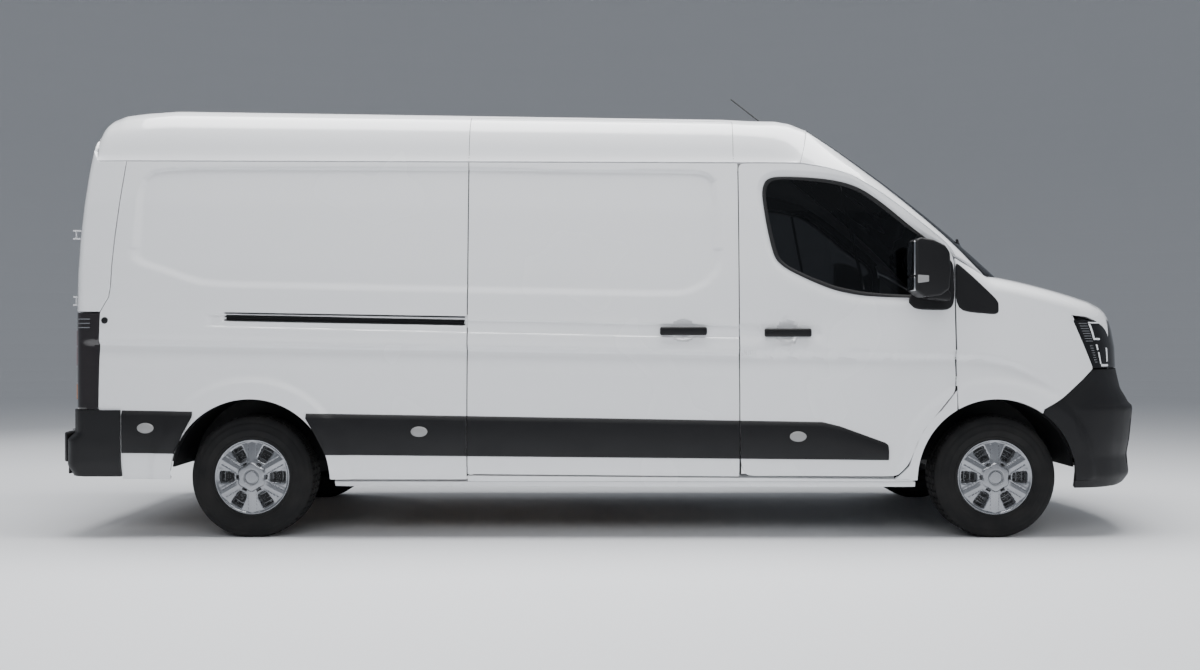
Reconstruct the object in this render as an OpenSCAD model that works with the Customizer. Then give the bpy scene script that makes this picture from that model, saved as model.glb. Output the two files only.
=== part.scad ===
// Panel van: long wheelbase, medium roof, sliding door on the right, left-hand drive.
// +X is forward, +Y is the van's left, Z = 0 is the ground, and the origin lies under the middle of the body.

/* [Overall] */
// Length over both bumpers
length = 6315; // [5800:5:7000]
// Body width between the flat sides, without cladding or mirrors
width = 2040; // [1840:5:2300]
// Height of the roof above the ground
height = 2500; // [2300:5:3000]
// Distance between the two axles
wheelbase = 4215; // [3600:5:4700]
// Distance from the front axle to the front of the bumper
front_overhang = 989; // [900:1:1100]
// Downward slope of the body's long lines towards the front, in degrees
body_slope = 0.95; // [0:0.05:1.5]

/* [Body panels] */
// Thickness of side walls, doors and roof
wall = 45; // [25:1:60]
// Width of the gap between two panels
seam = 6; // [5:0.5:10]
// Thickness of the glass
glass_t = 8; // [5:1:14]
// Height of the load floor above the ground
floor_z = 640; // [560:1:760]
// Thickness of the load floor
floor_t = 30; // [20:1:60]
// Width of the opening between the two rear corner posts
rear_opening = 1740; // [1500:5:1760]

/* [Cladding] */
// How far the side cladding stands off the body
cladding_t = 20; // [8:1:30]
// Height of the cladding's lower edge
cladding_z = 470; // [420:1:520]
// Height of the cladding band
cladding_h = 200; // [120:1:240]

/* [Wheels] */
// Outer radius of the tyre
tyre_r = 349.5; // [320:0.5:380]
// Width of the tyre
tyre_w = 225; // [185:5:245]
// Radius of the rim's outer edge
rim_r = 216; // [190:1:240]
// Distance between the two front tyres' middles
track_front = 1750; // [1650:5:1800]
// Distance between the two rear tyres' middles
track_rear = 1730; // [1650:5:1800]
// Radius of the wheel arch cut
arch_r = 450; // [400:1:470]
// Radius of the wheel spindle
spindle_r = 30; // [20:1:40]
// Running clearance of a pin in its bore
running = 0.08; // [0.02:0.01:0.1]

/* [Steering] */
// Distance of the steering axis inboard of the tyre's middle
kingpin_offset = 85; // [60:1:130]
// Radius of the steering wheel
steering_r = 195; // [170:1:220]

/* [Hinges] */
// Radius of the door hinge pins
hinge_pin_r = 4; // [3:0.5:5]
// Height of each hinge lug
hinge_lug_h = 36; // [30:1:60]

/* [Hidden] */

$fn = 48;
eps = 0.01;
white = [0.93, 0.94, 0.95];
black = [0.10, 0.10, 0.11];
steel = [0.45, 0.46, 0.48];
glass = [0.15, 0.18, 0.20, 0.5];

half = width / 2;
front_x = length / 2;
rear_x = -length / 2;
rear_face_x = rear_x + 48;
axle_f = front_x - front_overhang;
axle_r = axle_f - wheelbase;
slope = tan(body_slope);
hub_z = tyre_r - 6;
roof_z = height;

// ---------------------------------------------------------------- body shape

// Points on a shallow arc from a to b that bulges by h to the left of its direction
function bow(a, b, h, n) = [for (i = [0:n]) let (
    t = i / n,
    d = (b - a) / norm(b - a)
  ) a + t * (b - a) + 4 * h * t * (1 - t) * [-d[1], d[0]]];

function steps(a, b, n) = [for (i = [0:n]) a + (b - a) * i / n];
function reversed(list) = [for (i = [len(list) - 1:-1:0]) list[i]];
function swapped(list) = [for (p = list) [p[1], p[0]]];

// The lesser of a and b, rounded over a band k wide
function soft_min(a, b, k) = min(a, b) - pow(max(k - abs(a - b), 0), 2) / (4 * k);

windscreen_top = [axle_f - 975, roof_z - 122];
windscreen_foot = [axle_f + 190, 1491];
bonnet_lip = [front_x - 250, 1340];

// Half the body's width at each height where x = 0, from the sill to the gutter
side_table = [
  [200, half - 110], [262, half - 60], [300, half - 26], [380, half - 8], [480, half], [640, half], [800, half - 4],
  [1030, half - 8], [1076, half - 10], [1086, half - 24], [1240, half - 28], [1500, half - 42],
  [roof_z - 640, half - 72], [roof_z - 362, half - 108]
];

// Half of the roof's cross-section, as [distance from the middle, height above the gutter]
roof_half_section = [
  [0, 324], [half - 700, 320], [half - 440, 306], [half - 300, 284], [half - 226, 244], [half - 172, 182],
  [half - 138, 100], [half - 122, 17], [half - 108, 0]
];

// How far forward the nose reaches on the centre plane, by height
nose_table = [
  [250, front_x - 204], [283, front_x - 66], [340, front_x - 22], [457, front_x - 34], [540, front_x - 18],
  [660, front_x - 6], [729, front_x], [782, front_x - 26], [836, front_x - 60], [875, front_x - 70],
  [953, front_x - 88], [1078, front_x - 94], [1174, front_x - 112], [1234, front_x - 130]
];

// The bonnet's centre line, as [x, height]
bonnet_line = concat(
  bow(windscreen_foot + [12, -6], bonnet_lip, 10, 5),
  [[front_x - 178, 1301], [front_x - 145, 1271], [front_x - 130, 1234]]
);

// Where the rear end stands on the centre plane, by height
rear_table = concat(
  [[200, rear_face_x], [1300, rear_face_x]],
  swapped(bow([rear_face_x + 5, roof_z - 1010], [rear_face_x + 105, roof_z - 220], 16, 4)),
  [[roof_z - 128, rear_face_x + 128]]
);

// How far the front and rear ends draw in towards the sides at y
function front_round(y) = 180 * pow(y / 1000, 2) + 250 * pow(abs(y) / 1000, 8);
function rear_round(y) = 30 * pow(y / 1000, 2) + 60 * pow(abs(y) / 1000, 10);
front_inverse = [for (y = [0:25:1300]) [front_round(y), y]];
rear_inverse = [for (y = [0:25:1300]) [rear_round(y), y]];

function front_at(y, z) = lookup(z, nose_table) - front_round(y);
function rear_at(y, z) = lookup(z, rear_table) + rear_round(y);
function side_half(x, z) = soft_min(
    soft_min(
      lookup(z + slope * x, side_table),
      lookup(lookup(z, nose_table) - x, front_inverse), 120),
    lookup(x - lookup(z, rear_table), rear_inverse), 40);

// Height of the bonnet's surface over a point, and of the gutter along the roof
function bonnet_at(x, y) = lookup(x + front_round(y), bonnet_line);
function gutter_at(x) = roof_z - 362 - 0.003 * x;

// A point on the right side of the body, and one on the front or rear end
function side_point(x, z) = [x, -side_half(x, z), z];
function front_point(y, z) = [front_at(y, z), y, z];
function rear_point(y, z) = [rear_at(y, z), y, z];

// Unit normal of a grid of points at row i, column j
function grid_normal(g, i, j, wrap) = let (
    n = len(g),
    m = len(g[0]),
    a = wrap ? g[(i + 1) % n][j] - g[(i + n - 1) % n][j] : g[min(i + 1, n - 1)][j] - g[max(i - 1, 0)][j],
    b = g[i][min(j + 1, m - 1)] - g[i][max(j - 1, 0)],
    c = cross(a, b)
  ) c / norm(c);

// A closed panel: a grid of outer points, and the same grid moved by t against its normals.
// With wrap the last row meets the first, so that the panel is a ring. A given back grid takes the moved one's place.
module panel(g, t = wall, wrap = false, back = undef) {
  n = len(g);
  m = len(g[0]);
  outer = [for (i = [0:n - 1]) for (j = [0:m - 1]) g[i][j]];
  inner = [for (i = [0:n - 1]) for (j = [0:m - 1])
    is_undef(back) ? g[i][j] - t * grid_normal(g, i, j, wrap) : back[i][j]];
  k = n * m;
  last = wrap ? n - 1 : n - 2;
  quads = concat(
    [for (i = [0:last]) for (j = [0:m - 2]) let (r = (i + 1) % n)
        [i * m + j, i * m + j + 1, r * m + j + 1, r * m + j]],
    [for (i = [0:last]) for (j = [0:m - 2]) let (r = (i + 1) % n)
        [k + r * m + j, k + r * m + j + 1, k + i * m + j + 1, k + i * m + j]],
    [for (i = [0:last]) let (r = (i + 1) % n) [i * m, r * m, k + r * m, k + i * m]],
    [for (i = [0:last]) let (r = (i + 1) % n)
        [r * m + m - 1, i * m + m - 1, k + i * m + m - 1, k + r * m + m - 1]],
    wrap ? [] : [for (j = [0:m - 2]) [j + 1, j, k + j, k + j + 1]],
    wrap ? [] : [for (j = [0:m - 2]) let (e = (n - 1) * m) [e + j, e + j + 1, k + e + j + 1, k + e + j]]
  );
  polyhedron(concat(outer, inner), [for (q = quads) each [[q[0], q[1], q[2]], [q[0], q[2], q[3]]]]);
}

module box(low, high) {
  translate(low) cube(high - low);
}

module both_sides() {
  children();
  mirror([0, 1, 0]) children();
}

// ---------------------------------------------------------------- panel outlines, seen from the side

door_rear = axle_f - 1451;
door_front = axle_f - 228;
slide_rear = axle_f - 2990;
post_x = rear_face_x + 266;
lamp_x = rear_face_x + 208;
lamp_low = 727;
lamp_high = 1280;
sill_z = 290;
// Thickness of a panel's edge where it passes under the roof
flange_t = 10;
// Distance left between parts that rest on each other
touch = 0.3;
gap = seam / 2;
arch_z = hub_z - 5;
bonnet_half = 793;
shelf_z = 1250;
door_foot = 606;
grille_half = 560;

// Each place around a cab door, as [point on its outer edge, point on the window's edge]
R = door_rear + gap;
F = door_front - gap;
door_ring = [
  [[R, 1560], [axle_f - 1256, 1645]],
  [[R, 1150], [axle_f - 1232, 1577]],
  [[R, 355], [axle_f - 1178, 1530]],
  [[axle_f - 1150, 355], [axle_f - 1050, 1467]],
  [[axle_f - 850, 354], [axle_f - 903, 1408]],
  [[axle_f - 567, 353], [axle_f - 757, 1380]],
  [[axle_f - 503, 420], [axle_f - 612, 1370]],
  [[axle_f - 420, 611], [axle_f - 464, 1366]],
  [[axle_f - 321, 730], [axle_f - 310, 1366]],
  [[F, 840], [axle_f - 288, 1378]],
  [[F, 1250], [axle_f - 278, 1420]],
  [[F, 1580], [axle_f - 278, 1590]],
  [[axle_f - 265, 1660], [axle_f - 300, 1640]],
  [[axle_f - 367, roof_z - 750], [axle_f - 464, roof_z - 746]],
  [[axle_f - 514, roof_z - 630], [axle_f - 612, roof_z - 618]],
  [[axle_f - 659, roof_z - 522], [axle_f - 737, roof_z - 525]],
  [[axle_f - 805, roof_z - 434], [axle_f - 834, roof_z - 485]],
  [[axle_f - 950, roof_z - 391], [axle_f - 953, roof_z - 462]],
  [[axle_f - 1101, gutter_at(axle_f - 1101) - gap], [axle_f - 1101, roof_z - 450]],
  [[axle_f - 1240, gutter_at(axle_f - 1240) - gap], [axle_f - 1238, roof_z - 447]],
  [[R, gutter_at(R) - gap], [axle_f - 1291, roof_z - 470]],
  [[R, roof_z - 560], [axle_f - 1312, roof_z - 540]],
  [[R, roof_z - 720], [axle_f - 1285, roof_z - 720]]
];

// The window's lower and upper edges, as [x, height]
window_low = concat([door_ring[21][1], door_ring[22][1]], [for (i = [0:9]) door_ring[i][1]]);
window_high = reversed([for (i = [11:21]) door_ring[i][1]]);

// ---------------------------------------------------------------- fixed body panels

// Heights of the rows of a side panel at x, for a lower edge at low; the upper rows follow the body's long lines
function side_rows(x, low) = concat(
    steps(low, 1030 - slope * x, 4),
    [for (z = [1076, 1086, 1240, 1500, 1700, roof_z - 640, roof_z - 500]) z - slope * x],
    [gutter_at(x) - gap]
  );

function arch_columns(x0) = concat(
    [[x0 - arch_r - 8, sill_z]],
    [for (a = [180:-15:0]) [x0 + arch_r * cos(a), arch_z + arch_r * sin(a)]],
    [[x0 + arch_r + 8, sill_z]]
  );

// A long side panel from the rear corner post to x1, on the right
module side_panel(x1) {
  columns = concat(
    [[post_x + gap, 362]],
    arch_columns(axle_r),
    [for (x = steps(axle_r + arch_r + 200, x1 - gap, 4)) [x, sill_z]]
  );
  panel([for (c = columns) [for (z = side_rows(c[0], c[1])) side_point(c[0], z)]]);
}

module side_panel_right() { color(white) side_panel(slide_rear); }
module side_panel_left() { color(white) mirror([0, 1, 0]) side_panel(door_rear); }

module sliding_door() {
  color(white)
    panel([for (x = steps(slide_rear + gap, door_rear - gap, 4)) [for (z = side_rows(x, 358)) side_point(x, z)]]);
}

// How much of its full rise above the gutter the roof keeps at x
roof_rise = [
  [rear_face_x + 115, 0.55], [rear_face_x + 128, 0.68], [rear_face_x + 165, 0.80], [rear_face_x + 250, 0.90],
  [rear_face_x + 368, 0.95], [rear_face_x + 560, 1.0], [axle_f - 1500, 1.0], [axle_f - 1170, 0.96],
  [axle_f - 1080, 0.89], [windscreen_top[0] - 16, 0.74]
];
roof_line_z = roof_z - 38;

function roof_point(x, p) = let (
    g = gutter_at(x),
    full = roof_line_z - slope * x - g,
    rise = lookup(x, roof_rise) * full * p[1] / 324,
    rearward = x < 0 ? rear_round(p[0]) * max(0, 1 - (x - rear_face_x - 115) / 400)
                     : -135 * pow(p[0] / 1000, 2) * max(0, 1 - (windscreen_top[0] - 16 - x) / 600)
  ) [x + rearward, p[0], g + gap + rise];

roof_across = concat(
  [for (p = reversed(roof_half_section)) [-p[0], p[1]]],
  [for (i = [1:len(roof_half_section) - 1]) roof_half_section[i]]
);

module roof() {
  stations = concat(
    [for (i = [0:5]) roof_rise[i][0]],
    steps(rear_face_x + 1100, axle_f - 1700, 4),
    [for (i = [6:9]) roof_rise[i][0]]
  );
  g = [for (x = stations) [for (p = roof_across) roof_point(x, p)]];
  last = len(roof_across) - 1;
  color(white) panel(g, back = [for (i = [0:len(g) - 1]) [for (j = [0:last]) let (n = grid_normal(g, i, j, false))
    g[i][j] - wall * (j == 0 || j == last ? [0, sign(n[1]), 0] : n)]]);
}

// Height of the rear doors' top edge at y, under the roof's rear edge
function door_top(y) = roof_point(rear_face_x + 115, [y, lookup(y, roof_half_section)])[2] - seam;

// Half the width between the rear corner posts at height z
function opening_half(z) = min(rear_opening / 2, lookup(z + slope * rear_face_x, side_table) - 95);

// Points around the right rear corner at height z, from the side to the rear, inward of x0.
// With rise the part beside the door goes up to the roof's edge.
function corner_points(x0, z, rise = false) = let (w = lookup(z + slope * rear_face_x, side_table)) concat(
    [for (x = steps(x0, lookup(z, rear_table) + 125, 2)) side_point(x, z)],
    [for (y = steps(w - 42, opening_half(z) + gap, 3)) rear_point(-y, rise && y < w - 50 ? door_top(y) : z)]
  );

// The back of a panel that thins to a flange above the gutter, so that it passes under the roof's edge
function thinned(g) = [for (i = [0:len(g) - 1]) [for (j = [0:len(g[0]) - 1])
    g[i][j] - (g[i][j][2] > roof_z - 350 ? flange_t : wall) * grid_normal(g, i, j, false)]];

module corner_panel(x0, rows, rise = false) {
  g = [for (i = [0:len(rows) - 1]) corner_points(x0, rows[i], rise && i == len(rows) - 1)];
  panel(g, back = thinned(g));
}

module rear_corner_posts() {
  color(white) both_sides() {
    corner_panel(post_x - gap,
      concat([lamp_high + gap], steps(1400, roof_z - 420, 3), [gutter_at(post_x) - gap]), rise = true);
    panel([for (z = steps(lamp_low + 1.1, lamp_high - 4, 4)) [for (x = [post_x - gap, lamp_x + gap]) side_point(x, z)]]);
    box([lamp_x + 7, 60 - half, floor_z + touch], [post_x - 7, 130 - half, 1450]);
  }
}

module tail_lamps() {
  color([0.6, 0.05, 0.05]) both_sides()
    corner_panel(lamp_x, steps(lamp_low + 1.1, lamp_high + gap - 2, 4));
}

// The windscreen, as t runs from its top to its foot
windscreen_line = bow(windscreen_top, windscreen_foot, 34, 8);
function windscreen_half(t) = half - 275 + 125 * t;
function windscreen_point(i, y) = let (
    t = i / 8,
    drop = 225 * (1 - lookup(abs(y), roof_half_section) / 324)
  ) [
    windscreen_line[i][0] - (1 - t) * 100 * pow(y / 1000, 2) - t * front_round(y),
    y,
    windscreen_line[i][1] - (1 - t) * drop
  ];

module windscreen() {
  color(glass)
    panel([for (i = [0:8]) [for (y = steps(-windscreen_half(i / 8), windscreen_half(i / 8), 12))
      windscreen_point(i, y)]], glass_t);
}

// Outer edge of the right windscreen pillar, beside the door, as [x, height]
pillar_edge = [
  [axle_f - 1092, gutter_at(axle_f - 1092) + gap], [axle_f - 950, roof_z - 385], [axle_f - 803, roof_z - 428],
  [axle_f - 655, roof_z - 516], [axle_f - 510, roof_z - 624], [axle_f - 363, roof_z - 744], [axle_f - 295, 1700],
  [axle_f - 245, 1648], [axle_f - 220, 1598.6]
];

// The posts beside the windscreen, from the roof to the wings
module windscreen_pillars() {
  outer = [for (i = [0:8]) let (
    a = side_point(pillar_edge[i][0], pillar_edge[i][1]),
    b = windscreen_point(i, -windscreen_half(i / 8) - 0.5)
  ) [for (s = [0:0.25:1]) a + s * (b - a) + 60 * s * (1 - s) * [0.3, -0.7, 0.6]]];
  color(white) both_sides()
    panel(outer, back = [for (row = outer) [for (j = [0:4]) let (s = j / 4)
      row[j] + (wall - 15 * s) * ((1 - s) * [0, 1, 0] + s * [-0.62, 0, -0.78])]]);
}

// Top edge of a wing at x, as [distance from the middle, height]
function wing_top(x) = let (
    y = lookup(x, [[axle_f - 222, 958], [axle_f - 30, 885], [axle_f + 60, bonnet_half + seam]]),
    z = x < axle_f - 30 ? lookup(x, [[axle_f - 222, 1588], [axle_f - 30, 1487]]) : bonnet_at(x, y)
  ) [y, z];

// A wing's cross-section at x from its lower edge at low over its shoulder to its top edge
function wing_rows(x, low) = let (
    top = wing_top(x),
    shoulder = top[1] - 100,
    w = side_half(x, shoulder),
    start = low < shoulder ? 0 : asin((low - shoulder) / 100)
  ) concat(
    low < shoulder ? [for (z = steps(low, shoulder, 7)) side_point(x, z)] : [],
    [for (a = steps(start, 90, low < shoulder ? 4 : 12)) if (a > start || low >= shoulder)
      [x, -top[0] - (w - top[0]) * cos(a), shoulder + 100 * sin(a)]]
  );

module front_wings() {
  columns = concat(
    [[door_front + seam, 806], [axle_f - 180, 790]],
    [for (a = [110:-15:50]) [axle_f + arch_r * cos(a), arch_z + arch_r * sin(a)]],
    [
      [axle_f + 355, 796], [axle_f + 400, 850], [axle_f + 430, 1268], [axle_f + 500, 1264], [axle_f + 570, 1258],
      [axle_f + 640, 1250]
    ]
  );
  color(white) both_sides()
    difference() {
      panel([for (c = columns) wing_rows(c[0], c[1])]);
      for (z = cab_hinge_z) cab_hinge_pocket(z);
    }
  color(white) both_sides()
    panel([for (z = [872, 888, 957, 1050, 1150, 1250])
      [for (x = steps(lamp_fill_front(z), axle_f + 402 + (z - 850) * 0.072, 3)) side_point(x, z)]]);
}

// Front edge of the small piece of wing between the bumper and the headlight
function lamp_fill_front(z) = z < 960 ? lookup(z, [[872, axle_f + 440], [888, axle_f + 455], [957, axle_f + 536]])
                                      : lookup(z, lamp_rear_edge) - 4;

lamp_rear_edge = [[960, axle_f + 549], [1214, axle_f + 436], [1261, axle_f + 424]];

module headlights() {
  color([0.85, 0.88, 0.9, 0.8]) both_sides()
    panel([for (z = [962, 1040, 1120, 1180, 1225]) reversed(concat(
      [for (x = steps(lookup(z, lamp_rear_edge), front_at(870, z), 5)) side_point(x, z)],
      [for (y = steps(850, grille_half + seam, 5)) front_point(-y, z)]
    ))]);
  color(black) both_sides() box([front_x - 279.7, -640, 1045], [front_x - 190, -600, 1075]);
}

module grille() {
  color(black)
    panel([for (z = [856, 953, 1078, 1174, 1225]) [for (y = steps(-grille_half, grille_half, 8)) front_point(y, z)]]);
  color(black) both_sides() box([front_x - 279.7, -470, 1045], [front_x - 150, -430, 1075]);
}

module bonnet() {
  color(white) {
    bonnet_skin();
    both_sides() bonnet_arm();
  }
}

module bonnet_skin() {
  rows = concat(steps(axle_f + 206, bonnet_lip[0], 6), [front_x - 178, front_x - 145, front_x - 131]);
  across = steps(-bonnet_half, bonnet_half, 14);
  panel([for (x = rows) [for (y = across) [x - front_round(y), y, lookup(x, bonnet_line)]]]);
}

// The bumper's columns from the right wheel arch around the front, each as its points from low to high
function bumper_side(x, low, high) = [for (z = steps(low, high, 7)) side_point(x, z)];
function bumper_front(y, high) = [for (z = [283, 340, 457, 540, 660, 729, 782, high]) front_point(y, z)];

module front_bumper() {
  right = concat(
    [
      bumper_side(axle_f + 330, arch_z + sqrt(pow(arch_r, 2) - pow(330, 2)), 740),
      bumper_side(axle_f + 390, arch_z + sqrt(pow(arch_r, 2) - pow(390, 2)), 815),
      bumper_side(axle_f + arch_r, arch_z, 870), bumper_side(axle_f + arch_r + 12, 283, 882),
      bumper_side(axle_f + 549, 283, 955)
    ],
    [for (x = steps(axle_f + 600, axle_f + 690, 2)) bumper_side(x, 283, 955)],
    [for (y = [-860, -780, -680, -grille_half - 8]) bumper_front(y, 955)],
    [for (y = [-grille_half, -380, -190]) bumper_front(y, 850)]
  );
  left = reversed([for (column = right) [for (p = column) [p[0], -p[1], p[2]]]]);
  color(black) {
    panel(concat(right, [bumper_front(0, 850)], left));
    both_sides() box([front_x - 259.7, -rail_y - 30, 430], [front_x - 100, -rail_y + 30, 500]);
  }
}

// Panel between the windscreen's foot and the bonnet, which stands on the shelf of the cab's frame
module scuttle_panel() {
  height = windscreen_foot[1] - 6 - shelf_z - 1;
  color(black)
    panel([for (s = steps(8, height, 4)) [for (y = steps(30 - bonnet_hinge_y, bonnet_hinge_y - 30, 10))
      [windscreen_foot[0] + s / 12 - 24 - front_round(y), y, windscreen_foot[1] - 6 - s]]], 8);
}

// Half the length of the step across the rear
step_half = half - 90;

// Step across the rear with a corner piece up to each tail lamp
module rear_bumper() {
  color(black) {
    both_sides() corner_panel(post_x - gap, [350, 430, 520, 620, lamp_low]);
    translate([0, 0, 420]) linear_extrude(door_foot - 12 - 420)
      polygon([
        [rear_x, step_half - 120], [rear_x + 16, step_half - 30], [rear_face_x - 4, step_half],
        [rear_face_x - 4, -step_half], [rear_x + 16, 30 - step_half], [rear_x, 120 - step_half]
      ]);
    box([rear_x + 20, 40 - step_half, 350], [rear_x + 50, step_half - 40, 420]);
    box([rear_face_x - 4.5, rear_opening / -2, 430], [rear_x + 139.7, rear_opening / 2, 520]);
  }
}

module body_cladding() {
  z = cladding_z;
  color(black) {
    difference() {
      for (s = [-1, 1]) scale([1, s, 1]) {
        rotate([0, body_slope / 2, 0]) {
          box([post_x + 6, half + touch, z], [axle_r - arch_r - 5, half + cladding_t, z + cladding_h]);
          box([axle_r + 20, half + touch, z], [slide_rear - 4, half + cladding_t, z + cladding_h]);
        }
      }
      translate([axle_r, 0, arch_z]) rotate([90, 0, 0]) cylinder(h = width + 400, r = arch_r + 6, center = true, $fn = 72);
    }
    rotate([0, body_slope / 2, 0]) scale([1, -1, 1])
      box([slide_rear + 4, half + touch, z], [door_rear - 4, half + cladding_t, z + cladding_h]);
    rotate([0, body_slope / 2, 0])
      box([slide_rear + 4, half + touch, z], [door_rear - 4, half + cladding_t, z + cladding_h]);
  }
}

// ---------------------------------------------------------------- structure under the body

housing_r = arch_r + 4;
housing_t = 12;
housing_y_rear = 560;
housing_y_front = 520;
firewall_x = axle_f - 190;
// Distance of the chassis rails from the middle, their width and their top
rail_y = 420;
rail_w = 70;
rail_top = floor_z - floor_t - touch;
// Radius of the tow-bar bolt holes in the rear cross-member, and of the tie-down holes in the load floor
tow_hole_r = 6.5;
tie_hole_r = 5.5;

module load_floor() {
  low = floor_z - floor_t;
  cut = sqrt(pow(housing_r + housing_t, 2) - pow(low - arch_z, 2)) + touch;
  y = half - wall - 1.6;
  color(steel)
    difference() {
      translate([0, 0, low]) linear_extrude(floor_t)
        polygon([
          [rear_face_x + 96.5, 20 - rear_opening / 2], [rear_face_x + 140, 60 - half], [post_x + 20, -y],
          [door_rear - 40, -y], [door_rear - 40, y], [post_x + 20, y], [rear_face_x + 140, half - 60],
          [rear_face_x + 96.5, rear_opening / 2 - 20]
        ]);
      both_sides() box([axle_r - cut, -half, low - 1], [axle_r + cut, -housing_y_rear + touch, floor_z + 1]);
      for (x = [-1000, 200]) for (y = [-500, 500]) translate([x, y, low - 1]) cylinder(h = floor_t + 2, r = tie_hole_r);
    }
}

module cab_floor() {
  z = floor_z - 90;
  y = cab_post_y - 50.3;
  color(steel) {
    box([door_rear - 36, -y, z - 30], [axle_f - 500, y, z]);
    box([axle_f - 501, -housing_y_front + 10, z - 30], [firewall_x - touch, housing_y_front - 10, z]);
  }
}

module bulkhead() {
  x = door_rear - 60;
  color(steel)
    translate([x, 0, 0]) rotate([90, 0, 90]) linear_extrude(25)
      polygon([
        [-half + wall + 15, floor_z + touch], [half - wall - 15, floor_z + touch], [half - 92, 1500],
        [half - 160, roof_z - 370], [half - 250, roof_z - 190], [half - 420, roof_z - 120],
        [-half + 420, roof_z - 120], [-half + 250, roof_z - 190], [-half + 160, roof_z - 370], [-half + 92, 1500]
      ]);
}

// Sills, door posts, hinge posts and firewall around the cab, behind the outer panels
module cab_frame() {
  y = cab_post_y;
  housing_top = arch_z + sqrt(pow(housing_r + housing_t, 2) - pow(axle_f - firewall_x - 20, 2));
  color(white) {
    both_sides() {
      box([door_rear - 34.7, -y, 349], [door_rear + 10, -y + 50, 1500]);
      box([slide_rear + 20, -y, sill_z], [door_front - 330, -y + 60, 350]);
      box([door_front - 20, -cab_post_y, 812], [firewall_x + 1, -cab_post_y + 50, shelf_z - touch]);
    }
    difference() {
      box([firewall_x, -cab_post_y, floor_z - 120], [firewall_x + 20, cab_post_y, shelf_z - touch]);
      both_sides() box([firewall_x - 1, -half, 400], [firewall_x + 21, -housing_y_front + touch, housing_top + touch]);
    }
    box([firewall_x, -bonnet_hinge_y - 20, shelf_z - 20], [axle_f + 240, bonnet_hinge_y + 20, shelf_z - touch]);
  }
}

module chassis_frame() {
  color(black) difference() {
    chassis_rails();
    for (y = [-120, 120]) for (z = [520, 560]) translate([rear_x + 300, y, z]) rotate([0, 90, 0])
      cylinder(h = 80, r = tow_hole_r, center = true);
  }
}

module chassis_rails() {
  y0 = rail_y - rail_w / 2;
  y1 = rail_y + rail_w / 2;
  x = door_rear - 60;
  union() {
    both_sides() {
      box([rear_x + 140, -y1, rail_top - 110], [x, -y0, rail_top]);
      box([x - 160, -y1, 400], [front_x - 260, -y0, floor_z - 120.3]);
    }
    for (x = [rear_x + 300, axle_r + 600, axle_r + 1900])
      box([x - 30, -rail_y, 505], [x + 30, rail_y, 575]);
    for (x = [axle_f - 700, front_x - 300])
      box([x - 30, -rail_y, 430], [x + 30, rail_y, 500]);
    both_sides() box([front_x - 320, -470, 499], [front_x - 280, -430, 1060]);
    box([front_x - 320, -640, 1040], [front_x - 280, 640, 1080]);
  }
}

module wheel_housings() {
  color(black) both_sides() {
    housing(axle_r, -half + 84, -housing_y_rear);
    housing(axle_f, -half + 84, -housing_y_front);
  }
}

// A half-round liner over one wheel, from y0 to its closed inboard end at y1
module housing(x, y0, y1) {
  translate([x, 0, arch_z])
    difference() {
      translate([0, y1, 0]) rotate([90, 0, 0]) cylinder(h = y1 - y0, r = housing_r + housing_t);
      translate([0, y1 - housing_t, 0]) rotate([90, 0, 0]) cylinder(h = y1 - y0, r = housing_r);
      box([-housing_r - 50, y0 - 1, -housing_r - 50], [housing_r + 50, y1 + 1, 60]);
    }
}

// Engine and gearbox, on the front subframe
module engine_block() {
  color(steel) box([axle_f - 30, -300, 400.3], [axle_f + 600, 300, 1100]);
}

module fuel_tank() {
  y = rail_y + rail_w / 2 + touch;
  color(black) box([door_rear - 960, y, 330], [door_rear - 60, cab_post_y - 60.3, floor_z - floor_t - 40]);
}

module exhaust() {
  y = -rail_y + 160;
  color(steel) {
    translate([door_rear - 300, y, 425]) rotate([0, 90, 0]) cylinder(h = 700, r = 90);
    translate([rear_x + 260, y, 504.7 - 30]) rotate([0, 90, 0]) cylinder(h = door_rear - 299 - rear_x - 260, r = 30);
  }
}

module front_suspension() {
  y = track_front / 2 - kingpin_offset;
  color(black) {
    box([axle_f - 180, -rail_y, 330], [axle_f + 180, rail_y, 400]);
    for (s = [-1, 1]) scale([1, s, 1]) {
      box([axle_f - 28, rail_y - 10, 235], [axle_f + 28, y - 4, 265]);
      box([axle_f - 28, rail_y - 40, 235], [axle_f + 28, rail_y, 340]);
      translate([axle_f, y, 232]) cylinder(h = 37.7, r = 30);
    }
  }
}

// Beam with its differential, spindles and leaf springs
module rear_axle() {
  y = rail_y + rail_w / 2 + touch;
  leaf_z = hub_z + 44;
  color(black) {
    translate([axle_r, 0, hub_z]) rotate([90, 0, 0])
      cylinder(h = track_rear + 124, r = spindle_r, center = true);
    translate([axle_r, 0, hub_z]) rotate([90, 0, 0]) cylinder(h = track_rear - tyre_w - 20, r = 45, center = true);
    translate([axle_r, 0, hub_z]) sphere(r = 140);
    both_sides() {
      box([axle_r - 620, -y - 60, leaf_z], [axle_r + 620, -y, leaf_z + 27]);
      for (x = [-600, 600]) box([axle_r + x - 25, -y - 60, leaf_z + 26], [axle_r + x + 25, -y, rail_top - 30]);
    }
  }
}

// ---------------------------------------------------------------- cab

module dashboard() {
  color(black) {
    box([axle_f - 470, -half + 170, 900], [firewall_x - touch, half - 170, 1230]);
    translate([axle_f - 470, half - 590, 1150]) rotate([0, -65, 0]) cylinder(h = 120, r = 30);
  }
}

module seat(y, w) {
  translate([door_rear + 250, y, 0]) {
    box([0, 0, 900], [520, w, 1010]);
    translate([0, 0, 1010]) rotate([0, -12, 0]) box([-60, 0, 0.3], [60, w, 620]);
    box([60, 30, floor_z - 90], [460, w - 30, 900 - touch]);
  }
}

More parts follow.
